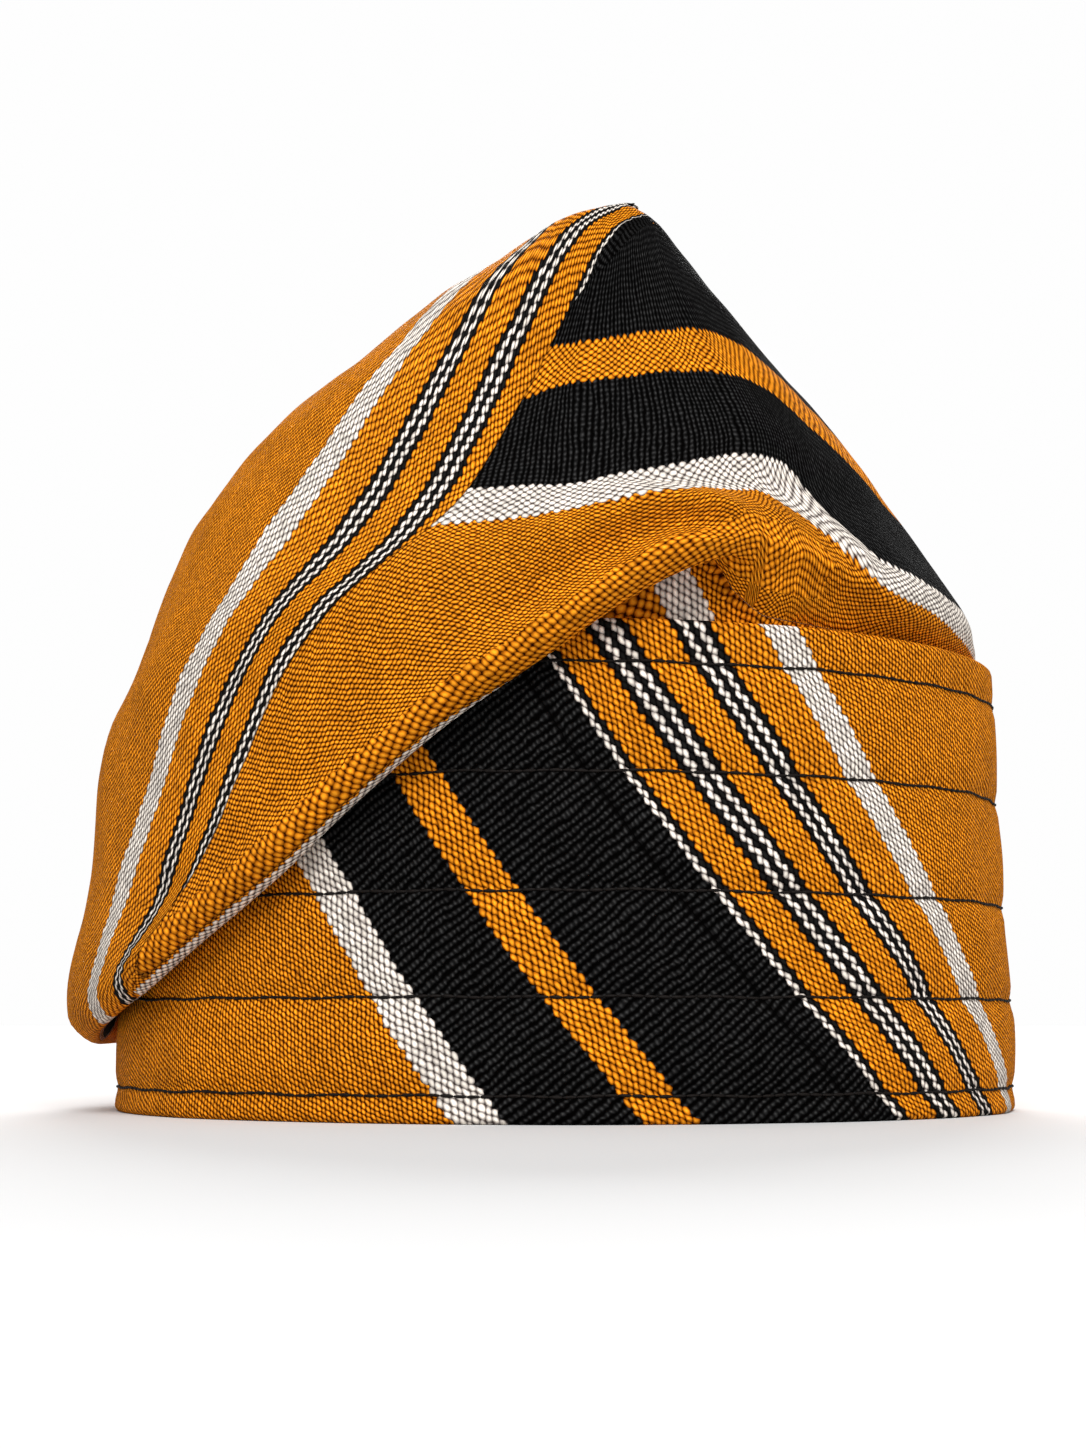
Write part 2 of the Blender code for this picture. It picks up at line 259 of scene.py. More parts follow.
FOLD = table(
    FoldRow,
    (-90, 0.0, 0.0970, 0.0980, 0.0030, 0.0, 0.0020, 0.0, 0.0850, 0.1000),
    (-60, 0.0, 0.0990, 0.1000, 0.0030, 0.0028, 0.0030, 0.0, 0.0882, 0.1030),
    (-40, 0.0, 0.1020, 0.1040, 0.0035, 0.0042, 0.0045, 0.0, 0.0904, 0.1070),
    (-25, 0.0, 0.1020, 0.1065, 0.0035, 0.0048, 0.0055, 0.0005, 0.0926, 0.1120),
    (-20, 0.30, 0.1020, 0.1070, 0.0030, 0.0056, 0.0060, 0.0012, 0.0934, 0.1135),
    (-15, 1.0, 0.1005, 0.1075, 0.0020, 0.0070, 0.0064, 0.0022, 0.0940, 0.1145),
    (-7, 1.0, 0.0940, 0.1070, 0.0008, 0.0088, 0.0070, 0.0018, 0.0948, 0.1140),
    (2, 1.0, 0.0835, 0.1030, 0.0003, 0.0095, 0.0075, 0.0010, 0.0957, 0.1105),
    (12, 1.0, 0.0722, 0.0985, 0.0, 0.0095, 0.0072, 0.0004, 0.0965, 0.1065),
    (24, 1.0, 0.0565, 0.0935, 0.0, 0.0090, 0.0065, 0.0, 0.0965, 0.1025),
    (33, 1.0, 0.0445, 0.0895, 0.0, 0.0085, 0.0060, 0.0, 0.0960, 0.0990),
    (44, 1.0, 0.0335, 0.0860, 0.0, 0.0080, 0.0052, 0.0, 0.0950, 0.0960),
    (58, 1.0, 0.0228, 0.0825, 0.0, 0.0080, 0.0046, 0.0, 0.0938, 0.0935),
    (74, 1.0, 0.0165, 0.0805, 0.0, 0.0088, 0.0043, 0.0, 0.0922, 0.0905),
    (90, 1.0, 0.0135, 0.0800, 0.0, 0.0094, 0.0042, 0.0, 0.0914, 0.0895),
    (108, 1.0, 0.0140, 0.0808, 0.0, 0.0094, 0.0043, 0.0, 0.0917, 0.0905),
    (126, 1.0, 0.0220, 0.0835, 0.0, 0.0088, 0.0048, 0.0, 0.0930, 0.0940),
    (142, 1.0, 0.0380, 0.0880, 0.0, 0.0085, 0.0056, 0.0, 0.0940, 0.0975),
    (158, 1.0, 0.0580, 0.0935, 0.0, 0.0090, 0.0065, 0.0, 0.0943, 0.1020),
    (174, 1.0, 0.0770, 0.0995, 0.0004, 0.0095, 0.0070, 0.0006, 0.0940, 0.1065),
    (188, 1.0, 0.0930, 0.1050, 0.0012, 0.0085, 0.0066, 0.0014, 0.0932, 0.1120),
    (195, 1.0, 0.1000, 0.1068, 0.0020, 0.0070, 0.0062, 0.0018, 0.0924, 0.1130),
    (200, 0.30, 0.1020, 0.1065, 0.0030, 0.0056, 0.0058, 0.0010, 0.0918, 0.1125),
    (205, 0.0, 0.1020, 0.1060, 0.0035, 0.0048, 0.0052, 0.0004, 0.0912, 0.1115),
    (220, 0.0, 0.1020, 0.1035, 0.0035, 0.0042, 0.0045, 0.0, 0.0894, 0.1070),
    (240, 0.0, 0.0990, 0.1000, 0.0030, 0.0028, 0.0030, 0.0, 0.0880, 0.1030),
    (270, 0.0, 0.0970, 0.0980, 0.0030, 0.0, 0.0020, 0.0, 0.0850, 0.1000),
)
SECTIONS = table(
    SectionRow,
    (0.1180, 0.0008, 0.0816, 0.0732, 0.0885, 0.0855, 2.05, 2.10),
    (0.1280, 0.0015, 0.0762, 0.0644, 0.0840, 0.0810, 2.00, 2.30),
    (0.1400, 0.0030, 0.0680, 0.0532, 0.0790, 0.0755, 1.95, 2.40),
    (0.1530, 0.0062, 0.0554, 0.0388, 0.0745, 0.0710, 1.90, 2.40),
    (0.1635, 0.0090, 0.0432, 0.0268, 0.0705, 0.0665, 1.90, 2.40),
    (0.1710, 0.0114, 0.0325, 0.0182, 0.0672, 0.0630, 1.90, 2.30),
    (0.1760, 0.0130, 0.0235, 0.0120, 0.0640, 0.0595, 2.00, 2.20),
)
CORNER_CREST = table(
    CreaseRow,
    (0.1100, -38.0, 0.0, 14.0),
    (0.1220, -36.0, 0.0022, 14.0),
    (0.1360, -38.0, 0.0034, 14.0),
    (0.1530, -44.0, 0.0030, 15.0),
    (0.1680, -48.0, 0.0016, 16.0),
    (0.1800, -52.0, 0.0, 18.0),
)
SEAM_GROOVE = table(
    CreaseRow,
    (0.1080, 14.0, 0.0, 6.0),
    (0.1180, 11.5, -0.0022, 7.0),
    (0.1400, 5.0, -0.0016, 8.0),
    (0.1600, -6.0, -0.0010, 10.0),
    (0.1760, -20.0, 0.0, 12.0),
)
BACK_CREST = table(
    CreaseRow,
    (0.1150, 222.0, 0.0, 14.0),
    (0.1400, 222.0, 0.0024, 15.0),
    (0.1700, 228.0, 0.0, 16.0),
)

FOLD_CURVES = curves(FOLD)
CREASE_CURVES = [curves(rows) for rows in (CORNER_CREST, SEAM_GROOVE, BACK_CREST)]


class Stretch(Enum):
    """Two stretches of a crown column, by the number of the point that each starts at."""

    UNDER = 4
    ROLL = 7


@dataclass(frozen=True)
class CrownForm:
    """The crown's wall: every column runs from inside the band over the fold to the ridge."""

    band: BandForm = BandForm()
    slip_inside: float = 0.0004
    slip_high: float = 0.0008
    slip_low: float = 0.0010
    tube_depth: float = 0.018
    turn_depth: float = 0.007
    turn_round: float = 0.0028
    roll_round: float = 0.0050
    roll_middle: float = 0.45
    flap_low: tuple[float, float] = (0.35, 0.35)
    flap_high: tuple[float, float] = (0.80, 0.78)
    ridge_height: float = 0.1785
    ridge_centre: float = 0.0158
    ridge_front: float = -0.0585
    ridge_back: float = 0.0540
    ridge_skew: float = 0.050
    skew_from: float = 0.110
    ridge_drop: float = 0.0045
    tilt_from: float = 0.145

    def tube(self, column: float) -> list[tuple]:
        """Gives the stretch of a column inside the band.

        Args:
            column: the column's azimuth, in degrees.

        Returns:
            The points of the stretch, in order.
        """
        band = self.band
        inset = band.wall + self.slip_inside
        heights = (band.height - self.tube_depth, band.height - self.turn_depth)
        return [polar(column, band.radius(h) - inset, band.pressed(column, h)) for h in heights]

    def fold(self, column: float) -> list[tuple]:
        """Gives the stretch from the band's edge to the shoulder: over, down, round and up.

        Args:
            column: the column's azimuth, in degrees.

        Returns:
            The points of the stretch, in order.
        """
        at = FoldRow(column, *(curve(column) for curve in FOLD_CURVES.values()))
        band = self.band
        rim = band.rim(column)
        inner = band.top_radius - band.wall - self.slip_inside
        under_high = band.radius(at.valley_height) + self.slip_high
        under_low = band.radius(at.roll_height) + self.slip_low + at.ledge
        valley_round = min(self.turn_round, 0.5 * (at.valley_height - at.roll_height))
        roll_round = min(self.roll_round, 0.5 * (at.valley_height - at.roll_height))
        outer_low = under_low + at.puff_low
        outer_high = under_high + at.puff_high
        above_roll = at.roll_height + roll_round
        shoulder = at.shoulder_height
        low_out, low_up = self.flap_low
        high_out, high_up = self.flap_high
        folded = (
            (inner, at.valley_height - valley_round),
            (mix(inner, under_high, 0.5), at.valley_height),
            (under_high, at.valley_height - valley_round),
            (mix(under_high, under_low, 0.5), mix(at.valley_height, at.roll_height, 0.5)),
            (under_low, above_roll),
            (mix(under_low, outer_low, self.roll_middle), at.roll_height),
            (outer_low, above_roll),
            (mix(outer_low, outer_high, low_out) - at.groove, mix(above_roll, shoulder, low_up)),
            (mix(outer_low, outer_high, high_out), mix(above_roll, shoulder, high_up)),
            (at.shoulder_radius, shoulder),
        )
        start_height = rim - self.turn_depth
        points = []
        for n, (radius, height) in enumerate(folded):
            plain_height = mix(start_height, shoulder, (n + 1) / len(folded))
            share = max(0.0, (plain_height - rim) / (shoulder - rim))
            plain_radius = mix(inner, at.shoulder_radius, smoothstep(0, 1, share))
            plain_radius += at.puff_low * math.sin(math.pi * share)
            radius = mix(plain_radius, radius, at.folded)
            points.append(polar(column, radius, mix(plain_height, height, at.folded)))
        return points

    def drop(self, y: float, height: float) -> float:
        """Gives how far the top falls towards the back at a depth and a height."""
        back = max(0.0, (y - self.ridge_front) / (self.ridge_back - self.ridge_front))
        return self.ridge_drop * back**2 * smoothstep(self.tilt_from, self.ridge_height, height)

    def crease(self, column: float, height: float) -> float:
        """Gives how far the soft lines down the crown move its wall out.

        Args:
            column: the column's azimuth, in degrees.
            height: the height above the rim.

        Returns:
            The shift outwards.
        """
        lift = 0.0
        for line in CREASE_CURVES:
            azimuth, spread = line["azimuth"](height), line["spread"](height)
            lift += line["lift"](height) * bell(azimuth, spread, column)
        return lift

    def section(self, row: SectionRow, column: float) -> tuple[float, float, float]:
        """Gives the point of a level section at an azimuth.

        Args:
            row: the section's row in the table.
            column: the column's azimuth, in degrees.

        Returns:
            The point's place.
        """
        turn = math.radians(column)
        power = 2 / (row.bend_left if math.sin(turn) > 0 else row.bend_right)
        sideways = signed_power(math.sin(turn), power)
        forwards = signed_power(math.cos(turn), power)
        y = -forwards * (row.reach_front if forwards > 0 else row.reach_back)
        skew = self.ridge_skew * smoothstep(self.skew_from, self.ridge_height, row.height)
        reach = row.reach_left if sideways > 0 else row.reach_right
        x = row.centre + skew * y - sideways * reach
        lift = self.crease(column, row.height)
        x -= lift * math.sin(turn)
        y -= lift * math.cos(turn)
        return (x, y, row.height - self.drop(y, row.height))

    def ridge(self, column: float) -> tuple[float, float, float]:
        """Gives the point of the ridge where a column ends.

        Args:
            column: the column's azimuth, in degrees.

        Returns:
            The point's place.
        """
        off_front = abs(column) if column <= 180 else 360 - column
        y = mix(self.ridge_front, self.ridge_back, off_front / 180)
        height = self.ridge_height - self.drop(y, self.ridge_height)
        return (self.ridge_centre + self.ridge_skew * y, y, height)

    def column(self, column: float, steps: Sequence[int]) -> list[Vector]:
        """Gives points on the smooth curve of one column.

        Args:
            column: the column's azimuth.
            steps: how many points lie on each span between two of the column's own points.

        Returns:
            The points, from inside the band to the ridge.
        """
        dome = [self.section(row, column) for row in SECTIONS]
        own = self.tube(column) + self.fold(column) + dome + [self.ridge(column)]
        points = [Vector(point) for point in own]
        spans = [(after - before).length for before, after in zip(points, points[1:])]
        headings = [(points[1] - points[0]) / spans[0]]
        for i in range(1, len(points) - 1):
            headings.append((points[i + 1] - points[i - 1]) / (spans[i - 1] + spans[i]))
        headings.append((points[-1] - points[-2]) / spans[-1])
        found = []
        for i, count in enumerate(steps):
            leaving, arriving = headings[i] * spans[i], headings[i + 1] * spans[i]
            for n in range(count):
                found.append(eased(points[i], leaving, points[i + 1], arriving, n / count))
        return found + [points[-1]]


# The cloth's stripes


class Yarn(Enum):
    """The yarns of the stripes, by their colour in the cloth."""

    OCHRE = (0.690, 0.200, 0.0040)
    BLACK = (0.0062, 0.0062, 0.0070)
    WHITE = (0.740, 0.715, 0.690)


class Weave(Enum):
    """How a stripe is woven. The value picks the pattern of floats in the material."""

    FINE = 0.0
    RIBBED = 0.5
    COARSE = 1.0


# How far a weave's value in the material may be off
WEAVE_SLACK = 0.2


class Stripe(NamedTuple):
    """A stripe of the cloth: its yarn, how many warp threads wide it is, and its weave."""

    yarn: Yarn
    threads: int
    weave: Weave = Weave.COARSE


THREAD = 0.60
STRIPES = (
    Stripe(Yarn.WHITE, 11),
    Stripe(Yarn.OCHRE, 14),
    Stripe(Yarn.BLACK, 2),
    Stripe(Yarn.WHITE, 2),
    Stripe(Yarn.BLACK, 2),
    Stripe(Yarn.WHITE, 2),
    Stripe(Yarn.BLACK, 2),
    Stripe(Yarn.OCHRE, 11),
    Stripe(Yarn.BLACK, 2),
    Stripe(Yarn.WHITE, 2),
    Stripe(Yarn.BLACK, 2),
    Stripe(Yarn.WHITE, 2),
    Stripe(Yarn.BLACK, 2),
    Stripe(Yarn.OCHRE, 11),
    Stripe(Yarn.BLACK, 2),
    Stripe(Yarn.WHITE, 2),
    Stripe(Yarn.BLACK, 45, Weave.RIBBED),
    Stripe(Yarn.OCHRE, 13),
    Stripe(Yarn.BLACK, 29, Weave.RIBBED),
    Stripe(Yarn.WHITE, 11),
    Stripe(Yarn.OCHRE, 221, Weave.FINE),
)
REPEAT = THREAD * sum(stripe.threads for stripe in STRIPES)


def stripe_edge(number: int) -> float:
    """Gives how far across the cloth the numbered stripe starts."""
    return THREAD * sum(stripe.threads for stripe in STRIPES[:number])


# Where some stripes start or end across the cloth
WHITE_END = stripe_edge(1)
FIRST_PAIR = (stripe_edge(2), stripe_edge(7))
SECOND_PAIR = (stripe_edge(8), stripe_edge(13))
MARGIN = stripe_edge(14)
WIDE_BLACK = stripe_edge(16)
MIDDLE_OCHRE = stripe_edge(17)
NARROW_BLACK = stripe_edge(18)
LAST_WHITE = stripe_edge(19)
GROUND = stripe_edge(20)
# A faint join runs along the wide black stripe, this far from its edge
JOIN = WIDE_BLACK + 5.4


class BandStripeRow(NamedTuple):
    """Where a line of the cloth meets the hem, in mm round the band from its front, and how it leans.

    lean is how far it moves to the left for each mm that it rises at the hem, and bend how fast that
    falls off with the height.
    """

    around: float
    across: float
    lean: float
    bend: float


BAND_STRIPES = table(
    BandStripeRow,
    (-295.0, GROUND + 213.0, 0.74, 0.0009),
    (-150.0, GROUND + 99.9, 0.74, 0.0009),
    (-21.9, GROUND, 0.735, 0.0010),
    (-11.9, LAST_WHITE, 0.785, 0.0014),
    (12.3, NARROW_BLACK, 0.840, 0.0015),
    (22.4, MIDDLE_OCHRE, 0.840, 0.0014),
    (65.2, WIDE_BLACK, 1.060, 0.0027),
    (68.5, MARGIN, 1.055, 0.0025),
    (77.2, SECOND_PAIR[1], 1.050, 0.0023),
    (86.5, SECOND_PAIR[0], 1.060, 0.0023),
    (95.0, FIRST_PAIR[1], 1.060, 0.0023),
    (101.6, FIRST_PAIR[0], 1.050, 0.0024),
    (112.2, WHITE_END, 1.027, 0.0022),
    (119.0, 0.0, 0.990, 0.0019),
    (200.0, -64.0, 0.85, 0.0012),
    (295.0, GROUND + 213.0 - 2 * REPEAT, 0.74, 0.0009),
)


class LeftPanelRow(NamedTuple):
    """The azimuths where the lines of the crown's left panel cross one height."""

    height: float
    white_left: float
    white_right: float
    first_left: float
    first_right: float
    second_left: float
    second_right: float
    margin: float
    seam: float


LEFT_PANEL = table(
    LeftPanelRow,
    (0.0140, 70.5, 67.3, 61.5, 59.0, 55.5, 53.0, 50.0, 56.8),
    (0.0230, 67.2, 64.4, 60.2, 58.0, 53.5, 51.5, 48.5, 55.6),
    (0.0270, 65.6, 62.9, 58.6, 56.9, 52.5, 50.5, 47.5, 54.2),
    (0.0310, 64.2, 61.2, 55.6, 54.4, 50.8, 48.9, 45.8, 52.6),
    (0.0360, 62.0, 58.9, 52.6, 50.9, 48.6, 46.9, 43.8, 49.3),
    (0.0420, 60.2, 56.1, 50.1, 48.1, 46.0, 44.2, 41.2, 45.9),
    (0.0490, 58.9, 54.3, 48.5, 45.9, 43.3, 41.5, 38.4, 42.3),
    (0.0600, 55.8, 51.3, 46.0, 43.3, 40.0, 37.2, 33.6, 38.3),
    (0.0710, 52.8, 48.7, 43.4, 40.5, 36.9, 33.8, 30.0, 35.0),
    (0.0840, 49.1, 44.8, 39.2, 36.6, 33.1, 30.3, 26.2, 30.9),
    (0.0940, 45.6, 41.0, 34.9, 32.1, 28.3, 25.2, 21.0, 25.6),
    (0.1000, 43.7, 38.6, 31.9, 28.2, 23.8, 20.8, 16.4, 21.0),
    (0.1070, 42.5, 36.4, 29.5, 24.9, 20.2, 16.9, 12.4, 16.2),
    (0.1130, 41.6, 35.4, 28.2, 23.5, 18.9, 15.0, 10.2, 13.4),
    (0.1200, 40.3, 34.3, 26.8, 22.5, 17.8, 13.9, 9.0, 11.8),
    (0.1300, 38.9, 32.9, 25.1, 20.7, 16.1, 12.0, 7.2, 9.2),
    (0.1400, 38.6, 32.5, 24.3, 20.0, 14.9, 10.5, 5.4, 6.6),
    (0.1480, 40.0, 34.0, 25.6, 20.9, 14.9, 10.3, 4.8, 5.4),
    (0.1560, 43.0, 36.2, 27.8, 22.6, 15.3, 10.1, 3.6, 3.2),
    (0.1640, 47.5, 39.5, 31.5, 25.6, 16.5, 9.8, 2.0, -3.0),
    (0.1710, 54.0, 44.0, 35.5, 28.5, 17.0, 8.0, -2.0, -14.0),
    (0.1760, 62.0, 50.0, 38.0, 27.0, 8.0, -6.0, -26.0, -38.0),
    (0.1785, 66.0, 52.0, 36.0, 22.0, -2.0, -22.0, -50.0, -64.0),
)


class RightPanelRow(NamedTuple):
    """The heights where lines of the crown's right panel cross one column.

    edge is how far across the cloth the rolled edge lies, from the lower edge of the white stripe.
    """

    azimuth: float
    white_low: float
    white_high: float
    ochre_low: float
    ochre_high: float
    edge: float


RIGHT_PANEL = table(
    RightPanelRow,
    (-145.0, 0.1080, 0.1150, 0.1340, 0.1430, -22.0),
    (-112.0, 0.0990, 0.1050, 0.1250, 0.1340, -15.0),
    (-90.0, 0.0915, 0.0978, 0.1170, 0.1260, -15.0),
    (-75.0, 0.0918, 0.0980, 0.1190, 0.1280, -15.0),
    (-60.0, 0.0940, 0.0996, 0.1245, 0.1360, -15.0),
    (-50.0, 0.0964, 0.1021, 0.1295, 0.1405, -15.0),
    (-40.0, 0.0987, 0.1050, 0.1350, 0.1465, -15.0),
    (-37.0, 0.1003, 0.1140, 0.1372, 0.1478, -16.0),
    (-34.0, 0.1030, 0.1210, 0.1385, 0.1487, -17.0),
    (-31.0, 0.1075, 0.1226, 0.1395, 0.1495, -18.0),
    (-26.0, 0.1155, 0.1230, 0.1400, 0.1498, -20.0),
    (-18.0, 0.1149, 0.1210, 0.1400, 0.1485, -22.5),
    (-7.0, 0.1107, 0.1178, 0.1380, 0.1470, -26.0),
    (1.0, 0.1087, 0.1152, 0.1368, 0.1455, -32.0),
    (7.0, 0.1072, 0.1150, 0.1340, 0.1440, -36.0),
    (14.0, 0.1074, 0.1146, 0.1300, 0.1400, -39.0),
    (24.0, 0.1030, 0.1100, 0.1270, 0.1370, -40.0),
    (33.0, 0.0940, 0.1010, 0.1200, 0.1290, -40.0),
    (44.0, 0.0850, 0.0920, 0.1120, 0.1210, -40.0),
    (58.0, 0.0780, 0.0850, 0.1050, 0.1140, -40.0),
)


class CornerFoldRow(NamedTuple):
    """How high a soft fold runs across a crown column, beside the end of the rolled edge."""

    azimuth: float
    height: float


CORNER_FOLD = table(
    CornerFoldRow,
    (-55.0, 0.0953),
    (-50.0, 0.0955),
    (-45.0, 0.0963),
    (-41.0, 0.0977),
    (-35.0, 0.1002),
    (-29.0, 0.1033),
    (-25.0, 0.1045),
    (-19.0, 0.1064),
    (-14.0, 0.1070),
)

LEFT_CURVES = curves(LEFT_PANEL)
RIGHT_CURVES = curves(RIGHT_PANEL)
CORNER_CURVES = curves(CORNER_FOLD)

# How far across the cloth each line of the left panel lies, from the right to the left
LEFT_LINES = {
    "margin": MARGIN,
    "second_right": SECOND_PAIR[1],
    "second_left": SECOND_PAIR[0],
    "first_right": FIRST_PAIR[1],
    "first_left": FIRST_PAIR[0],
    "white_right": WHITE_END,
    "white_left": 0.0,
}
# How far up the cloth each line of the right panel lies from its first
RIGHT_LINES = {
    "white_low": 0.0,
    "white_high": GROUND - LAST_WHITE,
    "ochre_low": GROUND - NARROW_BLACK,
    "ochre_high": GROUND - MIDDLE_OCHRE,
}


class Swell(NamedTuple):
    """A low ridge of the cloth, or a groove, at a place in mm. Its height is in metres."""

    centre: float
    spread: float
    height: float

    def lift(self, place: float) -> float:
        """Gives how far the cloth stands out at a place."""
        return self.height * bell(self.centre, self.spread, place)


# The rolled edge and the crease above it, and the fold beside the roll's end and the dip below it
ROLL_SWELLS = (Swell(5.5, 3.6, 0.0006), Swell(14.0, 4.2, -0.0007))
CORNER_SWELLS = (Swell(0.0, 1.7, 0.0008), Swell(-5.0, 2.6, -0.0008))


# Shader groups


class Mixing(Enum):
    """What a Mix node mixes: its kind of data, its two inputs and its output."""

    VALUES = ("FLOAT", 2, 3, 0)
    VECTORS = ("VECTOR", 4, 5, 1)
    COLOURS = ("RGBA", 6, 7, 2)


class Sheet:
    """A node tree that is laid out by short calls, each of which gives a socket."""

    def __init__(self, tree: bpy.types.NodeTree) -> None:
        """Keeps the tree to build in."""
        self.tree = tree

    def node(self, kind: str, **settings: object) -> bpy.types.Node:
        """Adds a node and sets its properties.

        Args:
            kind: the node's type in Blender.
            settings: the properties and their values.

        Returns:
            The new node.
        """
        made = self.tree.nodes.new(kind)
        for name, value in settings.items():
            setattr(made, name, value)
        return made

    def feed(self, socket: bpy.types.NodeSocket, value: object) -> None:
        """Links a socket to another one, or gives it a value.

        Args:
            socket: the input to be fed.
            value: a socket to link, or a plain value.
        """
        if isinstance(value, bpy.types.NodeSocket):
            self.tree.links.new(value, socket)
        else:
            socket.default_value = value

    def fed(self, made: bpy.types.Node, *values: object) -> bpy.types.NodeSocket:
        """Feeds a node's first inputs and gives its first output.

        Args:
            made: the node.
            values: what its first inputs get, in order.

        Returns:
            The node's first output.
        """
        for socket, value in zip(made.inputs, values):
            self.feed(socket, value)
        return made.outputs[0]

    def math(self, operation: str, *values: object, clamp: bool = False) -> bpy.types.NodeSocket:
        """Adds a Math node and gives its result."""
        return self.fed(self.node("ShaderNodeMath", operation=operation, use_clamp=clamp), *values)

    def times(self, first: object, *others: object) -> bpy.types.NodeSocket:
        """Multiplies two or more values.

        Args:
            first: the first value.
            others: the values that it is multiplied by.

        Returns:
            The product.
        """
        for other in others:
            first = self.math("MULTIPLY", first, other)
        return first

    def rest(self, value: object, clamp: bool = False) -> bpy.types.NodeSocket:
        """Gives what is missing from a value to 1."""
        return self.math("SUBTRACT", 1.0, value, clamp=clamp)

    def mix(
        self, share: object, low: object, high: object, what: Mixing = Mixing.VALUES, blend: str = "MIX"
    ) -> bpy.types.NodeSocket:
        """Mixes two values, vectors or colours.

        Args:
            share: how much of the second there is, from 0 to 1.
            low: the first.
            high: the second.
            what: what they are.
            blend: how two colours are blended.

        Returns:
            The mixed socket.
        """
        kind, first, second, result = what.value
        made = self.node("ShaderNodeMix", data_type=kind, blend_type=blend)
        for number, value in ((0, share), (first, low), (second, high)):
            self.feed(made.inputs[number], value)
        return made.outputs[result]

    def split(self, vector: object) -> tuple[bpy.types.NodeSocket, bpy.types.NodeSocket]:
        """Gives a vector's first two parts.

        Args:
            vector: the vector to be split.

        Returns:
            The first and the second part.
        """
        made = self.node("ShaderNodeSeparateXYZ")
        self.fed(made, vector)
        return made.outputs[0], made.outputs[1]

    def join(self, x: object, y: object, z: object = 0.0) -> bpy.types.NodeSocket:
        """Gives a vector made of its parts."""
        return self.fed(self.node("ShaderNodeCombineXYZ"), x, y, z)

    def noise(self, vector: object, scale: float, detail: float = 2.0) -> tuple:
        """Adds a Noise Texture and gives its value and its colour.

        Args:
            vector: where the noise is read.
            scale: how fine it is.
            detail: how many finer layers it has.

        Returns:
            The noise's value and its colour.
        """
        made = self.node("ShaderNodeTexNoise", noise_dimensions="3D")
        for name, value in (("Vector", vector), ("Scale", scale), ("Detail", detail)):
            self.feed(made.inputs[name], value)
        return made.outputs[0], made.outputs[1]

    def moved(self, place: object, way: object, reach: tuple[float, float, float]) -> bpy.types.NodeSocket:
        """Moves a place by a vector that is stretched by a reach."""
        return self.fed(self.node("ShaderNodeVectorMath", operation="MULTIPLY_ADD"), way, reach, place)

    def bump(self, height: object, distance: float, strength: float = 1.0) -> bpy.types.NodeSocket:
        """Turns a height into a normal.

        Args:
            height: the height to be read.
            distance: what a height of 1 stands for, in metres.
            strength: how much of it shows.

        Returns:
            The bent normal.
        """
        made = self.node("ShaderNodeBump")
        for name, value in (("Strength", strength), ("Distance", distance), ("Height", height)):
            self.feed(made.inputs[name], value)
        return made.outputs[0]

    def group(self, tree: bpy.types.NodeTree, **values: object) -> bpy.types.Node:
        """Adds a group and feeds its named inputs.

        Args:
            tree: the group's tree.
            values: what each named input gets.

        Returns:
            The group's node.
        """
        made = self.node("ShaderNodeGroup", node_tree=tree)
        for name, value in values.items():
            self.feed(made.inputs[name.capitalize()], value)
        return made


def new_group(name: str, inputs: dict[str, str], outputs: dict[str, str]) -> tuple:
    """Starts a shader node group.

    Args:
        name: the group's name.
        inputs: the kind of socket of each named input.
        outputs: the kind of socket of each named output.

    Returns:
        The tree, its sheet, its input node and its output node.
    """
    tree = bpy.data.node_groups.new(name, "ShaderNodeTree")
    for names, way in ((inputs, "INPUT"), (outputs, "OUTPUT")):
        for socket_name, kind in names.items():
            tree.interface.new_socket(name=socket_name, in_out=way, socket_type=kind)
    sheet = Sheet(tree)
    return tree, sheet, sheet.node("NodeGroupInput"), sheet.node("NodeGroupOutput")


FLOAT, VECTOR, COLOUR = "NodeSocketFloat", "NodeSocketVector", "NodeSocketColor"
# Every second row of floats lies half a cell further along
STAGGER = (0.25, 0.75)


def float_group() -> bpy.types.NodeTree:
    """Builds the group that lays oval floats of yarn in a staggered lattice.

    Returns:
        The group. Height is 1 on the crest of a float and 0 between floats, Middle is how far across
        the cloth the float's middle lies, and Tone is a random value for each float.
    """
    tree, sheet, given, result = new_group(
        "yarn_floats",
        {"Cloth": VECTOR, "Thread": FLOAT, "Pitch": FLOAT, "Width": FLOAT, "Length": FLOAT},
        {"Height": FLOAT, "Middle": FLOAT, "Tone": FLOAT},
    )
    across, along = sheet.split(given.outputs["Cloth"])
    cell = sheet.times(given.outputs["Thread"], 2.0)
    ways = (
        (sheet.math("DIVIDE", across, cell), given.outputs["Width"]),
        (sheet.math("DIVIDE", along, given.outputs["Pitch"]), given.outputs["Length"]),
    )
    found = []
    for shift in STAGGER:
        cells, squares = [], []
        for place, size in ways:
            moved = sheet.math("SUBTRACT", place, shift)
            cells.append(sheet.math("ROUND", moved))
            off = sheet.math("DIVIDE", sheet.math("SUBTRACT", moved, cells[-1]), size)
            squares.append(sheet.times(off, off))
        height = sheet.rest(sheet.math("ADD", *squares))
        middle = sheet.times(sheet.math("ADD", cells[0], shift), cell)
        tone = sheet.node("ShaderNodeTexWhiteNoise", noise_dimensions="3D")
        sheet.feed(tone.inputs["Vector"], sheet.join(*cells, shift))
        found.append((height, middle, tone.outputs[0]))
    low, high = found
    upper = sheet.math("GREATER_THAN", high[0], low[0])
    top = sheet.math("MAXIMUM", sheet.math("MAXIMUM", low[0], high[0]), 0.0)
    sheet.feed(result.inputs["Height"], sheet.math("SQRT", top))
    sheet.feed(result.inputs["Middle"], sheet.mix(upper, low[1], high[1]))
    sheet.feed(result.inputs["Tone"], sheet.mix(upper, low[2], high[2]))
    return tree


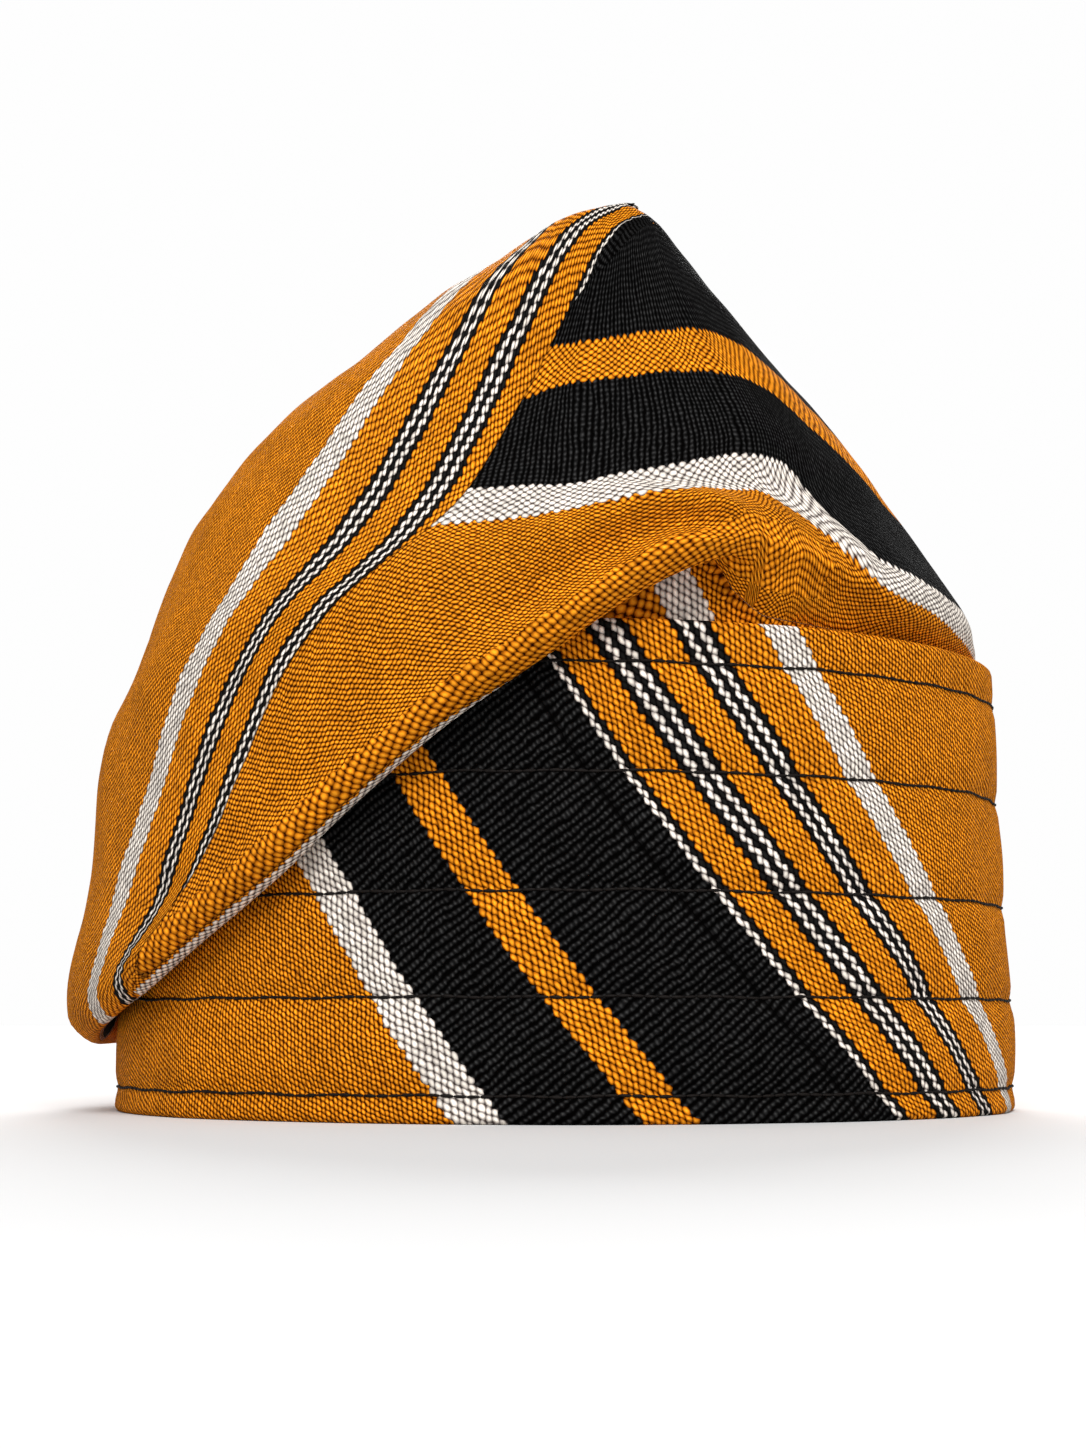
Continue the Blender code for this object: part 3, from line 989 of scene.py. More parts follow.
# A ramp keeps 256 colours, so the narrow and the wide stripes have a ramp each, with its start and
# its span in mm, in steps of 0.2 and 0.3 mm
RAMP_PARTS = ((0.0, 51.0), (WIDE_BLACK, 76.5))
WIDE_FROM = WIDE_BLACK + 0.1


def stripe_ramp(
    sheet: Sheet, place: bpy.types.NodeSocket, start: float, span: float
) -> tuple[bpy.types.NodeSocket, bpy.types.NodeSocket]:
    """Adds a ramp with the stripes of one stretch of the cloth.

    Args:
        sheet: the sheet to add it to.
        place: how far across the repeat a place lies, in mm.
        start: where the stretch starts.
        span: how wide the stretch is.

    Returns:
        The ramp's colour, which is the yarn's, and its alpha, which picks the weave.
    """
    ramp = sheet.node("ShaderNodeValToRGB")
    sheet.feed(ramp.inputs[0], sheet.math("DIVIDE", sheet.math("SUBTRACT", place, start), span))
    stops = ramp.color_ramp
    stops.interpolation = "CONSTANT"
    stops.elements.remove(stops.elements[1])
    held = [n for n in range(len(STRIPES)) if start - HAIR < stripe_edge(n) < start + span]
    for number in held:
        stop = stops.elements[0] if number == held[0] else stops.elements.new(1.0)
        stop.position = (stripe_edge(number) - start) / span
        stop.color = (*STRIPES[number].yarn.value, STRIPES[number].weave.value)
    return ramp.outputs["Color"], ramp.outputs["Alpha"]


def stripe_group() -> bpy.types.NodeTree:
    """Builds the group that gives the yarn's colour and the kind of weave across the cloth.

    Returns:
        The group's tree.
    """
    kinds = {"Colour": COLOUR, "Weave": FLOAT}
    tree, sheet, given, result = new_group("cloth_stripes", {"Across": FLOAT}, kinds)
    share = sheet.math("FRACT", sheet.math("DIVIDE", given.outputs["Across"], REPEAT))
    place = sheet.times(share, REPEAT)
    narrow, wide = (stripe_ramp(sheet, place, *part) for part in RAMP_PARTS)
    is_wide = sheet.math("GREATER_THAN", place, WIDE_FROM)
    sheet.feed(result.inputs["Colour"], sheet.mix(is_wide, narrow[0], wide[0], Mixing.COLOURS))
    sheet.feed(result.inputs["Weave"], sheet.mix(is_wide, narrow[1], wide[1]))
    return tree


@dataclass(frozen=True)
class FloatSize:
    """The lattice of floats in a weave, in mm, and each float's half size as a share of its cell."""

    thread: float
    pitch: float
    width: float
    length: float


@dataclass(frozen=True)
class ClothLook:
    """How the cloth is woven, with painted shade in its hollows and painted highlights on its floats.

    Lengths are in mm, and noise has a scale for each mm. A pair says how much a value varies and where
    it starts, but roughness runs from the hollows to the crests.
    """

    coarse: FloatSize = FloatSize(THREAD, 2.50, 0.44, 0.40)
    fine: FloatSize = FloatSize(0.50, 1.95, 0.43, 0.38)
    beaded: FloatSize = FloatSize(1.08, 2.05, 0.40, 0.46)
    # The rows of large floats run this many degrees less steeply than the rolled edge
    bead_slant: float = 20.0
    bead_edge_scale: float = 0.35
    bead_edge: tuple[float, float] = (0.5, -0.25)
    bead_from: float = 0.5
    rib_pitch: float = 1.50
    rib_power: float = 0.8
    rib_thread: float = 0.9
    rib_thread_depth: tuple[float, float] = (0.25, 0.75)
    drift_scale: float = 0.16
    drift: tuple[float, float, float] = (1.0, 1.6, 0.0)
    jitter_scale: float = 0.9
    jitter_detail: float = 1.0
    jitter: tuple[float, float, float] = (0.35, 0.8, 0.0)
    join_width: float = 0.45
    join_depth: float = 0.8
    # Painted shade and light: a float's crest share mixes the yarn's colour from a painted shade colour in
    # the hollows to a painted light colour on the crests
    crest_power: float = 2.4
    white_from: float = 0.4
    # Painted shade in the hollows between floats, for the dark yarns and, greyer, for the white
    hollow: tuple[float, ...] = (0.060, 0.020, 0.013, 1.0)
    white_hollow: tuple[float, ...] = (0.13, 0.10, 0.09, 1.0)
    # Painted light on the crests of the floats
    crest: tuple[float, ...] = (1.84, 1.72, 1.62, 1.0)
    slub_scale: float = 0.07
    slub_detail: float = 4.0
    fading: tuple[float, float] = (0.5, 0.75)
    lively: tuple[float, float] = (0.42, 0.79)
    # A painted highlight at the tops of the floats, tinted by the yarn, and a painted glint on the crests
    # of the ribbed stripes
    shine_power: float = 8.0
    shine: tuple[float, float, float] = (0.24, 0.34, 0.035)
    glint: float = 0.034
    roughness: tuple[float, float] = (0.95, 0.62)

    def shaken(self, sheet: Sheet, cloth: bpy.types.NodeSocket) -> bpy.types.NodeSocket:
        """Moves the cloth's coordinates a little, as threads wander in hand-woven cloth.

        Args:
            sheet: the material's nodes.
            cloth: the cloth's coordinates.

        Returns:
            The moved coordinates.
        """
        _, drift = sheet.noise(cloth, self.drift_scale)
        _, jitter = sheet.noise(cloth, self.jitter_scale, self.jitter_detail)
        return sheet.moved(sheet.moved(cloth, drift, self.drift), jitter, self.jitter)

    def slanted(self, sheet: Sheet, across: object, along: object) -> bpy.types.NodeSocket:
        """Gives cloth coordinates that are turned by the slant of the large floats.

        Args:
            sheet: the material's nodes.
            across: the distance across the stripes, in mm.
            along: the distance along the stripes, in mm.

        Returns:
            The turned coordinates.
        """
        turn = math.radians(self.bead_slant)
        cosine, sine = math.cos(turn), math.sin(turn)
        return sheet.join(
            sheet.math("MULTIPLY_ADD", along, -sine, sheet.times(across, cosine)),
            sheet.math("MULTIPLY_ADD", across, sine, sheet.times(along, cosine)),
        )

    def ribs(self, sheet: Sheet, across: object, along: object) -> bpy.types.NodeSocket:
        """Gives the height of ribs that run over a stripe.

        Args:
            sheet: the material's nodes.
            across: the distance across the stripes, in mm.
            along: the distance along the stripes, in mm.

        Returns:
            The ribs' height, from 0 to 1.
        """
        wave = sheet.math("SINE", sheet.times(along, math.tau / self.rib_pitch))
        threads = sheet.math("SINE", sheet.times(across, math.tau / self.rib_thread))
        rib = sheet.math("POWER", sheet.math("MULTIPLY_ADD", wave, 0.5, 0.5), self.rib_power)
        return sheet.times(rib, sheet.math("MULTIPLY_ADD", threads, *self.rib_thread_depth))

    def join(self, sheet: Sheet, across: object) -> bpy.types.NodeSocket:
        """Gives how deep the faint join lies.

        Args:
            sheet: the material's nodes.
            across: the distance across the stripes, in mm.

        Returns:
            The join's depth.
        """
        off = sheet.math("ABSOLUTE", sheet.math("SUBTRACT", across, JOIN))
        near = sheet.rest(sheet.math("DIVIDE", off, self.join_width), clamp=True)
        return sheet.times(near, self.join_depth)

    def colour(
        self, sheet: Sheet, yarn: bpy.types.NodeSocket, height: object, is_ribbed: object, light: object
    ) -> bpy.types.NodeSocket:
        """Paints light and shade into the yarn's colour: painted shade in the hollows, painted light on the
        crests, and a painted highlight at their tops.

        Args:
            sheet: the sheet to build on.
            yarn: the yarn's colour.
            height: how high a place lies on its float.
            is_ribbed: 1 where the stripe is ribbed.
            light: how light the cloth is there.

        Returns:
            The cloth's colour, with its painted light and shade.
        """
        crest = sheet.math("POWER", height, self.crest_power)
        red, green = sheet.split(yarn)
        # Painted shade in the hollows and painted light on the crests, with a greyer shade for the white
        # yarn
        is_white = sheet.math("GREATER_THAN", green, self.white_from)
        deep = sheet.mix(is_white, self.hollow, self.white_hollow, Mixing.COLOURS)
        shade = sheet.mix(crest, deep, self.crest, Mixing.COLOURS)
        # Painted highlights: a warm shine at the tops of the floats and a glint on the crests of the ribbed
        # black
        shine = sheet.times(sheet.math("POWER", height, self.shine_power), red, sheet.rest(green))
        glint = sheet.times(crest, is_ribbed, self.glint)
        painted_gleam = sheet.join(*(sheet.math("MULTIPLY_ADD", shine, part, glint) for part in self.shine))
        lit = sheet.join(light, light, light)
        colour = sheet.mix(1.0, yarn, shade, Mixing.COLOURS, "MULTIPLY")
        colour = sheet.mix(1.0, colour, painted_gleam, Mixing.COLOURS, "ADD")
        return sheet.mix(1.0, colour, lit, Mixing.COLOURS, "MULTIPLY")

    def group(self, floats: bpy.types.NodeTree, stripes: bpy.types.NodeTree) -> bpy.types.NodeTree:
        """Builds the group of the whole cloth.

        Args:
            floats: the group that lays the floats.
            stripes: the group that gives the stripes.

        Returns:
            The group, with the cloth's Colour, which holds painted shade and highlights, its Height for a
            Bump node and its Roughness.
        """
        tree, sheet, given, result = new_group(
            "striped_cloth",
            {"Cloth": VECTOR, "Dark": FLOAT, "Beads": FLOAT},
            {"Colour": COLOUR, "Height": FLOAT, "Roughness": FLOAT},
        )
        flat = given.outputs["Cloth"]
        cloth = self.shaken(sheet, flat)
        across, along = sheet.split(cloth)
        slanted = self.slanted(sheet, across, along)
        coarse, fine, beaded = (
            sheet.group(floats, cloth=way, **asdict(size))
            for way, size in ((cloth, self.coarse), (cloth, self.fine), (slanted, self.beaded))
        )
        striped = sheet.group(stripes, across=coarse.outputs["Middle"])
        is_fine, is_ribbed = (
            sheet.math("COMPARE", striped.outputs["Weave"], kind.value, WEAVE_SLACK)
            for kind in (Weave.FINE, Weave.RIBBED)
        )

        edge, _ = sheet.noise(flat, self.bead_edge_scale)
        share = sheet.math("ADD", given.outputs["Beads"], sheet.math("MULTIPLY_ADD", edge, *self.bead_edge))
        is_bead = sheet.times(sheet.math("GREATER_THAN", share, self.bead_from), is_fine)
        mixed = []
        for name in ("Height", "Tone"):
            flat_weave = sheet.mix(is_fine, coarse.outputs[name], fine.outputs[name])
            mixed.append(sheet.mix(is_bead, flat_weave, beaded.outputs[name]))
        height, tone = mixed
        height = sheet.mix(is_ribbed, height, self.ribs(sheet, across, along))
        height = sheet.times(height, sheet.rest(self.join(sheet, across)))

        slub, _ = sheet.noise(flat, self.slub_scale, self.slub_detail)
        light = sheet.times(
            sheet.math("MULTIPLY_ADD", slub, *self.fading),
            sheet.math("MULTIPLY_ADD", tone, *self.lively),
            sheet.rest(given.outputs["Dark"]),
        )
        colour = self.colour(sheet, striped.outputs["Colour"], height, is_ribbed, light)
        sheet.feed(result.inputs["Colour"], colour)
        sheet.feed(result.inputs["Height"], height)
        sheet.feed(result.inputs["Roughness"], sheet.mix(height, *self.roughness))
        return tree


def new_material(name: str) -> tuple[bpy.types.Material, Sheet, bpy.types.Node]:
    """Starts a material and gives it, its sheet and its shader.

    Args:
        name: the material's name.

    Returns:
        The material, its sheet of nodes and its shader.
    """
    made = bpy.data.materials.new(name)
    made.use_nodes = True
    return made, Sheet(made.node_tree), made.node_tree.nodes["Principled BSDF"]


@dataclass(frozen=True)
class ClothFinish:
    """Woven striped cloth on a piece whose UV maps follow it.

    Where it has a second map, the seam attribute says which side of the seam a place is on.
    """

    name: str
    near_map: str
    far_map: str = ""
    relief: float = 0.00045
    strength: float = 0.9
    gloss: float = 0.03
    # The dark line of the seam: half its width in mm, and how dark it is
    seam_reach: float = 0.5
    seam_dark: float = 0.7

    def material(self, cloth: bpy.types.NodeTree) -> bpy.types.Material:
        """Builds the material.

        Args:
            cloth: the group of the striped cloth.

        Returns:
            The finished material.
        """
        made, sheet, shader = new_material(self.name)
        place = sheet.node("ShaderNodeUVMap", uv_map=self.near_map).outputs[0]
        dark: object = 0.0
        beads: object = 0.0
        if self.far_map:
            far = sheet.node("ShaderNodeUVMap", uv_map=self.far_map).outputs[0]
            seam = sheet.node("ShaderNodeAttribute", attribute_name="seam").outputs["Fac"]
            place = sheet.mix(sheet.math("GREATER_THAN", seam, 0.0), far, place, Mixing.VECTORS)
            off_seam = sheet.math("DIVIDE", sheet.math("ABSOLUTE", seam), self.seam_reach)
            dark = sheet.times(sheet.rest(off_seam, clamp=True), self.seam_dark)
            beads = sheet.node("ShaderNodeAttribute", attribute_name="beads").outputs["Fac"]
            beads = sheet.times(beads, sheet.math("LESS_THAN", seam, 0.0))
        woven = sheet.group(cloth, cloth=place, dark=dark, beads=beads)
        sheet.feed(shader.inputs["Base Color"], woven.outputs["Colour"])
        sheet.feed(shader.inputs["Roughness"], woven.outputs["Roughness"])
        sheet.feed(shader.inputs["Normal"], sheet.bump(woven.outputs["Height"], self.relief, self.strength))
        shader.inputs["Specular IOR Level"].default_value = self.gloss
        return made


@dataclass(frozen=True)
class ThreadFinish:
    """Dark sewing thread, twisted, with a slight gloss."""

    name: str = "dark_thread"
    colour: tuple[float, ...] = (0.004, 0.003, 0.003, 1.0)
    fibre: tuple[float, ...] = (0.016, 0.012, 0.010, 1.0)
    fibre_scale: float = 2600.0
    relief: float = 0.0001
    roughness: float = 0.6
    gloss: float = 0.12

    def material(self) -> bpy.types.Material:
        """Builds the material.

        Returns:
            The material.
        """
        made, sheet, shader = new_material(self.name)
        fibre, _ = sheet.noise(sheet.node("ShaderNodeTexCoord").outputs["Object"], self.fibre_scale)
        colour = sheet.mix(fibre, self.colour, self.fibre, Mixing.COLOURS)
        sheet.feed(shader.inputs["Base Color"], colour)
        sheet.feed(shader.inputs["Normal"], sheet.bump(fibre, self.relief))
        shader.inputs["Roughness"].default_value = self.roughness
        shader.inputs["Specular IOR Level"].default_value = self.gloss
        return made


@dataclass(frozen=True)
class FloorFinish:
    """A plain pale studio floor, which throws less light on the cap than the camera sees."""

    name: str = "pale_floor"
    seen: float = 0.79
    bounced: float = 0.45
    mottle: float = 0.02
    mottle_scale: float = 3.0
    roughness: float = 0.9

    def material(self) -> bpy.types.Material:
        """Builds the material.

        Returns:
            The material.
        """
        made, sheet, shader = new_material(self.name)
        mottle, _ = sheet.noise(sheet.node("ShaderNodeTexCoord").outputs["Object"], self.mottle_scale)
        by_eye = sheet.node("ShaderNodeLightPath").outputs["Is Camera Ray"]
        level = sheet.mix(by_eye, self.bounced, self.seen)
        tone = sheet.math("MULTIPLY_ADD", mottle, self.mottle, level)
        sheet.feed(shader.inputs["Base Color"], sheet.join(tone, tone, tone))
        shader.inputs["Roughness"].default_value = self.roughness
        return made


# The pieces


def make_mesh(name: str, shape: bmesh.types.BMesh) -> bpy.types.Mesh:
    """Turns a shape into a mesh and frees it.

    Args:
        name: the mesh's name.
        shape: the shape, which is freed.

    Returns:
        The mesh.
    """
    mesh = bpy.data.meshes.new(name)
    shape.to_mesh(mesh)
    shape.free()
    return mesh


def add_object(name: str, data: bpy.types.ID) -> bpy.types.Object:
    """Puts a mesh, a light or a camera in the scene.

    Args:
        name: the object's name.
        data: the mesh, light or camera.

    Returns:
        The object.
    """
    made = bpy.data.objects.new(name, data)
    bpy.context.scene.collection.objects.link(made)
    return made


def finished_piece(
    name: str, shape: bmesh.types.BMesh, material: bpy.types.Material, nodes: Sequence[str] = ()
) -> bpy.types.Object:
    """Turns a shape into a piece of the cap.

    Args:
        name: the piece's name.
        shape: the shape, in place; it is freed.
        material: the finish.
        nodes: the nodes of the frame that the piece replaces.

    Returns:
        The piece.
    """
    mesh = make_mesh(name, shape)
    mesh.shade_smooth()
    mesh.materials.append(material)
    piece = add_object(name, mesh)
    if nodes:
        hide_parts(*nodes)
    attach(piece, "root")
    LOG.info("%s: %d faces", name, len(mesh.polygons))
    return piece


def append(shape: bmesh.types.BMesh, some: bmesh.types.BMesh) -> None:
    """Adds one shape to another and frees it, far quicker than making many parts in a large shape.

    Args:
        shape: the shape that is added to.
        some: the shape that is added, and freed.
    """
    mesh = make_mesh("some", some)
    shape.from_mesh(mesh)
    bpy.data.meshes.remove(mesh)


def bent_grid(columns: int, rows: int, place: Callable[[int, int], Vector]) -> tuple:
    """Bends a flat grid into a shape.

    Args:
        columns: how many faces wide the grid is.
        rows: how many faces high it is.
        place: gives the place of the point in a column and a row.

    Returns:
        The shape, and the column and row of each of its points.
    """
    shape = bmesh.new()
    bmesh.ops.create_grid(shape, x_segments=columns, y_segments=rows, size=1.0)
    shape.verts.index_update()
    shares = [((vert.co.x + 1) / 2, (vert.co.y + 1) / 2) for vert in shape.verts]
    spots = [(round(x * columns), round(y * rows)) for x, y in shares]
    for vert, spot in zip(shape.verts, spots):
        vert.co = place(*spot)
    return shape, spots


def map_cloth(
    shape: bmesh.types.BMesh,
    spots: Sequence[tuple[int, int]],
    name: str,
    cloth: Callable[[int, int, bool], tuple[float, float]],
    is_hem: Callable[[int, int], bool] = lambda column, row: False,
) -> None:
    """Gives a bent grid a UV map.

    Args:
        shape: the shape, before any of its points are merged.
        spots: the column and row of each point.
        name: the map's name.
        cloth: gives the cloth coordinates of the point in a column and a row, on the hem or off it.
        is_hem: tells whether the face that starts at a column and a row is on the hem.
    """
    layer = shape.loops.layers.uv.new(name)
    found = {}
    for face in shape.faces:
        corners = [spots[loop.vert.index] for loop in face.loops]
        on_hem = is_hem(*min(corners))
        for loop, corner in zip(face.loops, corners):
            if (corner, on_hem) not in found:
                found[corner, on_hem] = cloth(*corner, on_hem)
            loop[layer].uv = found[corner, on_hem]


def close_wall(shape: bmesh.types.BMesh, start: bmesh.types.BMVert) -> None:
    """Joins the edges of a bent grid and turns its faces so that those round a point look outwards.

    Args:
        shape: the bent grid.
        start: a point in the middle of the faces that look outwards.
    """
    bmesh.ops.remove_doubles(shape, verts=shape.verts, dist=MERGE)
    bmesh.ops.recalc_face_normals(shape, faces=shape.faces)
    facing = sum((face.normal for face in start.link_faces), Vector())
    if facing.dot(outwards(start.co)) < 0:
        bmesh.ops.reverse_faces(shape, faces=shape.faces)


def unevenness(place: Vector, size: float, depth: float) -> float:
    """Gives a smooth random lift at a place, for humps of a size and a depth."""
    return depth * noise.noise(place / size)


@dataclass
class Band:
    """The stitched upright band."""

    form: BandForm = field(default_factory=BandForm)
    columns: int = 360
    levels: int = 66
    inner_levels: int = 12
    edge_steps: int = 3
    row_heights: tuple[float, ...] = (0.0050, 0.0225, 0.0415, 0.0630, 0.0830)
    row_depth: float = 0.00055
    row_spread: float = 0.0016
    pucker_spread: float = 0.00384
    puff: float = 0.0004
    hump_size: float = 0.021
    hump_depth: float = 0.0009
    pucker_size: float = 0.0055
    pucker_depth: float = 0.00035
    joint_depth: float = 0.0008
    joint_spread: float = 0.0012
    # How far the cloth's threads run sideways for each mm up
    thread_lean: float = 0.76
    # How often the place where a stripe meets the hem is worked out anew
    hem_rounds: int = 4

    def quilting(self, azimuth: float, height: float) -> float:
        """Gives how far the cloth stands out between the rows of stitches, and in at them.

        Args:
            azimuth: the direction from the band's axis, in degrees.
            height: the height above the rim, in metres.

        Returns:
            The shift outwards, in metres.
        """
        rows = self.row_heights
        pinch = sum(bell(row, self.row_spread, height) for row in rows)
        between = 0.0
        for low, high in zip(rows, rows[1:]):
            if low < height < high:
                between = math.sin(math.pi * (height - low) / (high - low))
        spot = Vector(polar(azimuth, self.form.hem_radius, height))
        near = sum(bell(row, self.pucker_spread, height) for row in rows)
        pucker = unevenness(spot, self.pucker_size, self.pucker_depth) * near
        return self.puff * between - self.row_depth * pinch + pucker

    def surface(self, azimuth: float, height: float) -> Vector:
        """Gives a place on the band's outer face.

        Args:
            azimuth: the direction from the band's axis, in degrees.
            height: the height above the rim, in metres.

        Returns:
            The place.
        """
        form = self.form
        spot = Vector(polar(azimuth, form.hem_radius, height))
        radius = form.radius(height) + self.quilting(azimuth, height)
        radius += unevenness(spot, self.hump_size, self.hump_depth)
        from_joint = math.radians(azimuth - 180) * form.hem_radius
        radius -= self.joint_depth * bell(0.0, self.joint_spread, from_joint)
        return Vector(polar(azimuth, radius, form.pressed(azimuth, height))) + BAND_AXIS

    def profile(self) -> list[tuple[float, float]]:
        """Gives the wall's section as inset and height, from inside the foot up and over the top.

        Returns:
            The inset and the height of each point of the section, in metres.
        """
        top, edge, wall = self.form.height, self.form.edge_round, self.form.wall
        outer = [(0.0, mix(edge, top - edge, n / self.levels)) for n in range(self.levels + 1)]
        inner = [(wall, mix(edge, top - edge, n / self.inner_levels)) for n in range(self.inner_levels + 1)]
        quarter = [math.radians(90 * n / self.edge_steps) for n in range(1, self.edge_steps)]
        bend = [(edge * (1 - math.cos(t)), edge * (1 - math.sin(t))) for t in quarter] + [(edge, 0.0)]
        over = [(x, top - z) for x, z in bend] + [(wall - x, top - z) for x, z in reversed(bend)]
        foot = [(wall - x, z) for x, z in bend] + list(reversed(bend))
        return outer + over + inner[::-1] + foot

    def cloth(self, azimuth: float, height: float) -> tuple[float, float]:
        """Gives the cloth coordinates at an azimuth from -180 to 180 and a height.

        Args:
            azimuth: the direction from the band's axis, in degrees.
            height: the height above the rim, in metres.

        Returns:
            How far the point lies across the stripes and along them, in mm.
        """
        around = -math.radians(azimuth) * self.form.hem_radius / MILLIMETRE
        up = height / MILLIMETRE
        keys, across_marks, leans, bends = zip(*BAND_STRIPES)
        at_hem = around
        for _ in range(self.hem_rounds):
            held = max(keys[0], min(keys[-1], at_hem))
            lean, bend = line_value(keys, leans, held), line_value(keys, bends, held)
            at_hem = around + lean * up - bend * up * up
        across = line_value(keys, across_marks, at_hem)
        angle = math.atan(self.thread_lean)
        return across, up * math.cos(angle) - around * math.sin(angle)

    def build(self, material: bpy.types.Material) -> bpy.types.Object:
        """Models and dresses the band.

        Args:
            material: the band's finish.

        Returns:
            The band.
        """
        profile = self.profile()
        loop = profile + profile[:1]
        azimuths = [-180 + 360 * n / self.columns for n in range(self.columns + 1)]

        def place(column: int, row: int) -> Vector:
            """Gives the place of a point of the wall.

            Args:
                column: the number of the point's column.
                row: the number of the point in its column.

            Returns:
                The point's place.
            """
            inset, height = loop[row]
            azimuth = azimuths[column]
            # The forms count azimuths from -90 to 270
            spot = self.surface(azimuth if azimuth >= -90 else azimuth + 360, height)
            return spot - outwards(spot) * inset

        shape, spots = bent_grid(self.columns, len(profile), place)
        map_cloth(shape, spots, "cloth", lambda column, row, _: self.cloth(azimuths[column], loop[row][1]))
        shape.verts.ensure_lookup_table()
        close_wall(shape, shape.verts[spots.index((1, 1))])
        return finished_piece("striped_band", shape, material, ["band"])


@dataclass
class Stitching:
    """Rows of dark stitches that hold the band's layers together."""

    band: Band
    pitch: float = 0.00245
    length: float = 0.00262
    thickness: float = 0.00064
    thickness_change: float = 0.12
    thickness_rate: float = 2.3
    proud: float = 0.000172
    wander: float = 0.00013
    # Two sines of unlike rates stand in for the unevenness of a hand, and differ from row to row
    quick_rate: float = 0.9
    slow_rate: float = 0.37
    slow_share: float = 0.6
    row_rate: float = 40.0
    sides: int = 6
    rings: int = 5
    batch: int = 22

    def stitch(self, shape: bmesh.types.BMesh, start: Vector, end: Vector, number: int) -> None:
        """Lays one stitch: a thin rod that is rounded at its ends.

        Args:
            shape: the shape to add it to.
            start: where the stitch comes out of the cloth.
            end: where it goes in again.
            number: the stitch's number, which makes it a little thicker or thinner.
        """
        thick = self.thickness * (1 + self.thickness_change * math.sin(self.thickness_rate * number))
        place = (
            Matrix.Translation((start + end) / 2)
            @ (end - start).to_track_quat("Z", "Y").to_matrix().to_4x4()
            @ Matrix.Diagonal((thick, thick, self.length, 1.0))
        )
        bmesh.ops.create_uvsphere(
            shape, u_segments=self.sides, v_segments=self.rings, radius=0.5, matrix=place
        )

    def spot(self, row: float, step: int, count: int) -> Vector:
        """Gives where the thread goes through the cloth between two stitches of a row.

        Args:
            row: the height of the row.
            step: the number of the stitch.
            count: how many stitches the row has.

        Returns:
            The place.
        """
        quick = math.sin(self.quick_rate * step + self.row_rate * row)
        lift = self.wander * (quick + self.slow_share * math.sin(self.slow_rate * step))
        spot = self.band.surface(-90 + 360 * step / count, row + lift)
        return spot + outwards(spot) * self.proud

    def build(self, material: bpy.types.Material) -> bpy.types.Object:
        """Models and dresses every row.

        Args:
            material: the thread's finish.

        Returns:
            The stitching, as one object.
        """
        shape = bmesh.new()
        count = round(math.tau * self.band.form.hem_radius / self.pitch)
        for row in self.band.row_heights:
            spots = [self.spot(row, step, count) for step in range(count + 1)]
            for first in range(0, count, self.batch):
                some = bmesh.new()
                for n in range(first, min(count, first + self.batch)):
                    self.stitch(some, spots[n], spots[n + 1], n)
                append(shape, some)
        return finished_piece("band_stitches", shape, material)


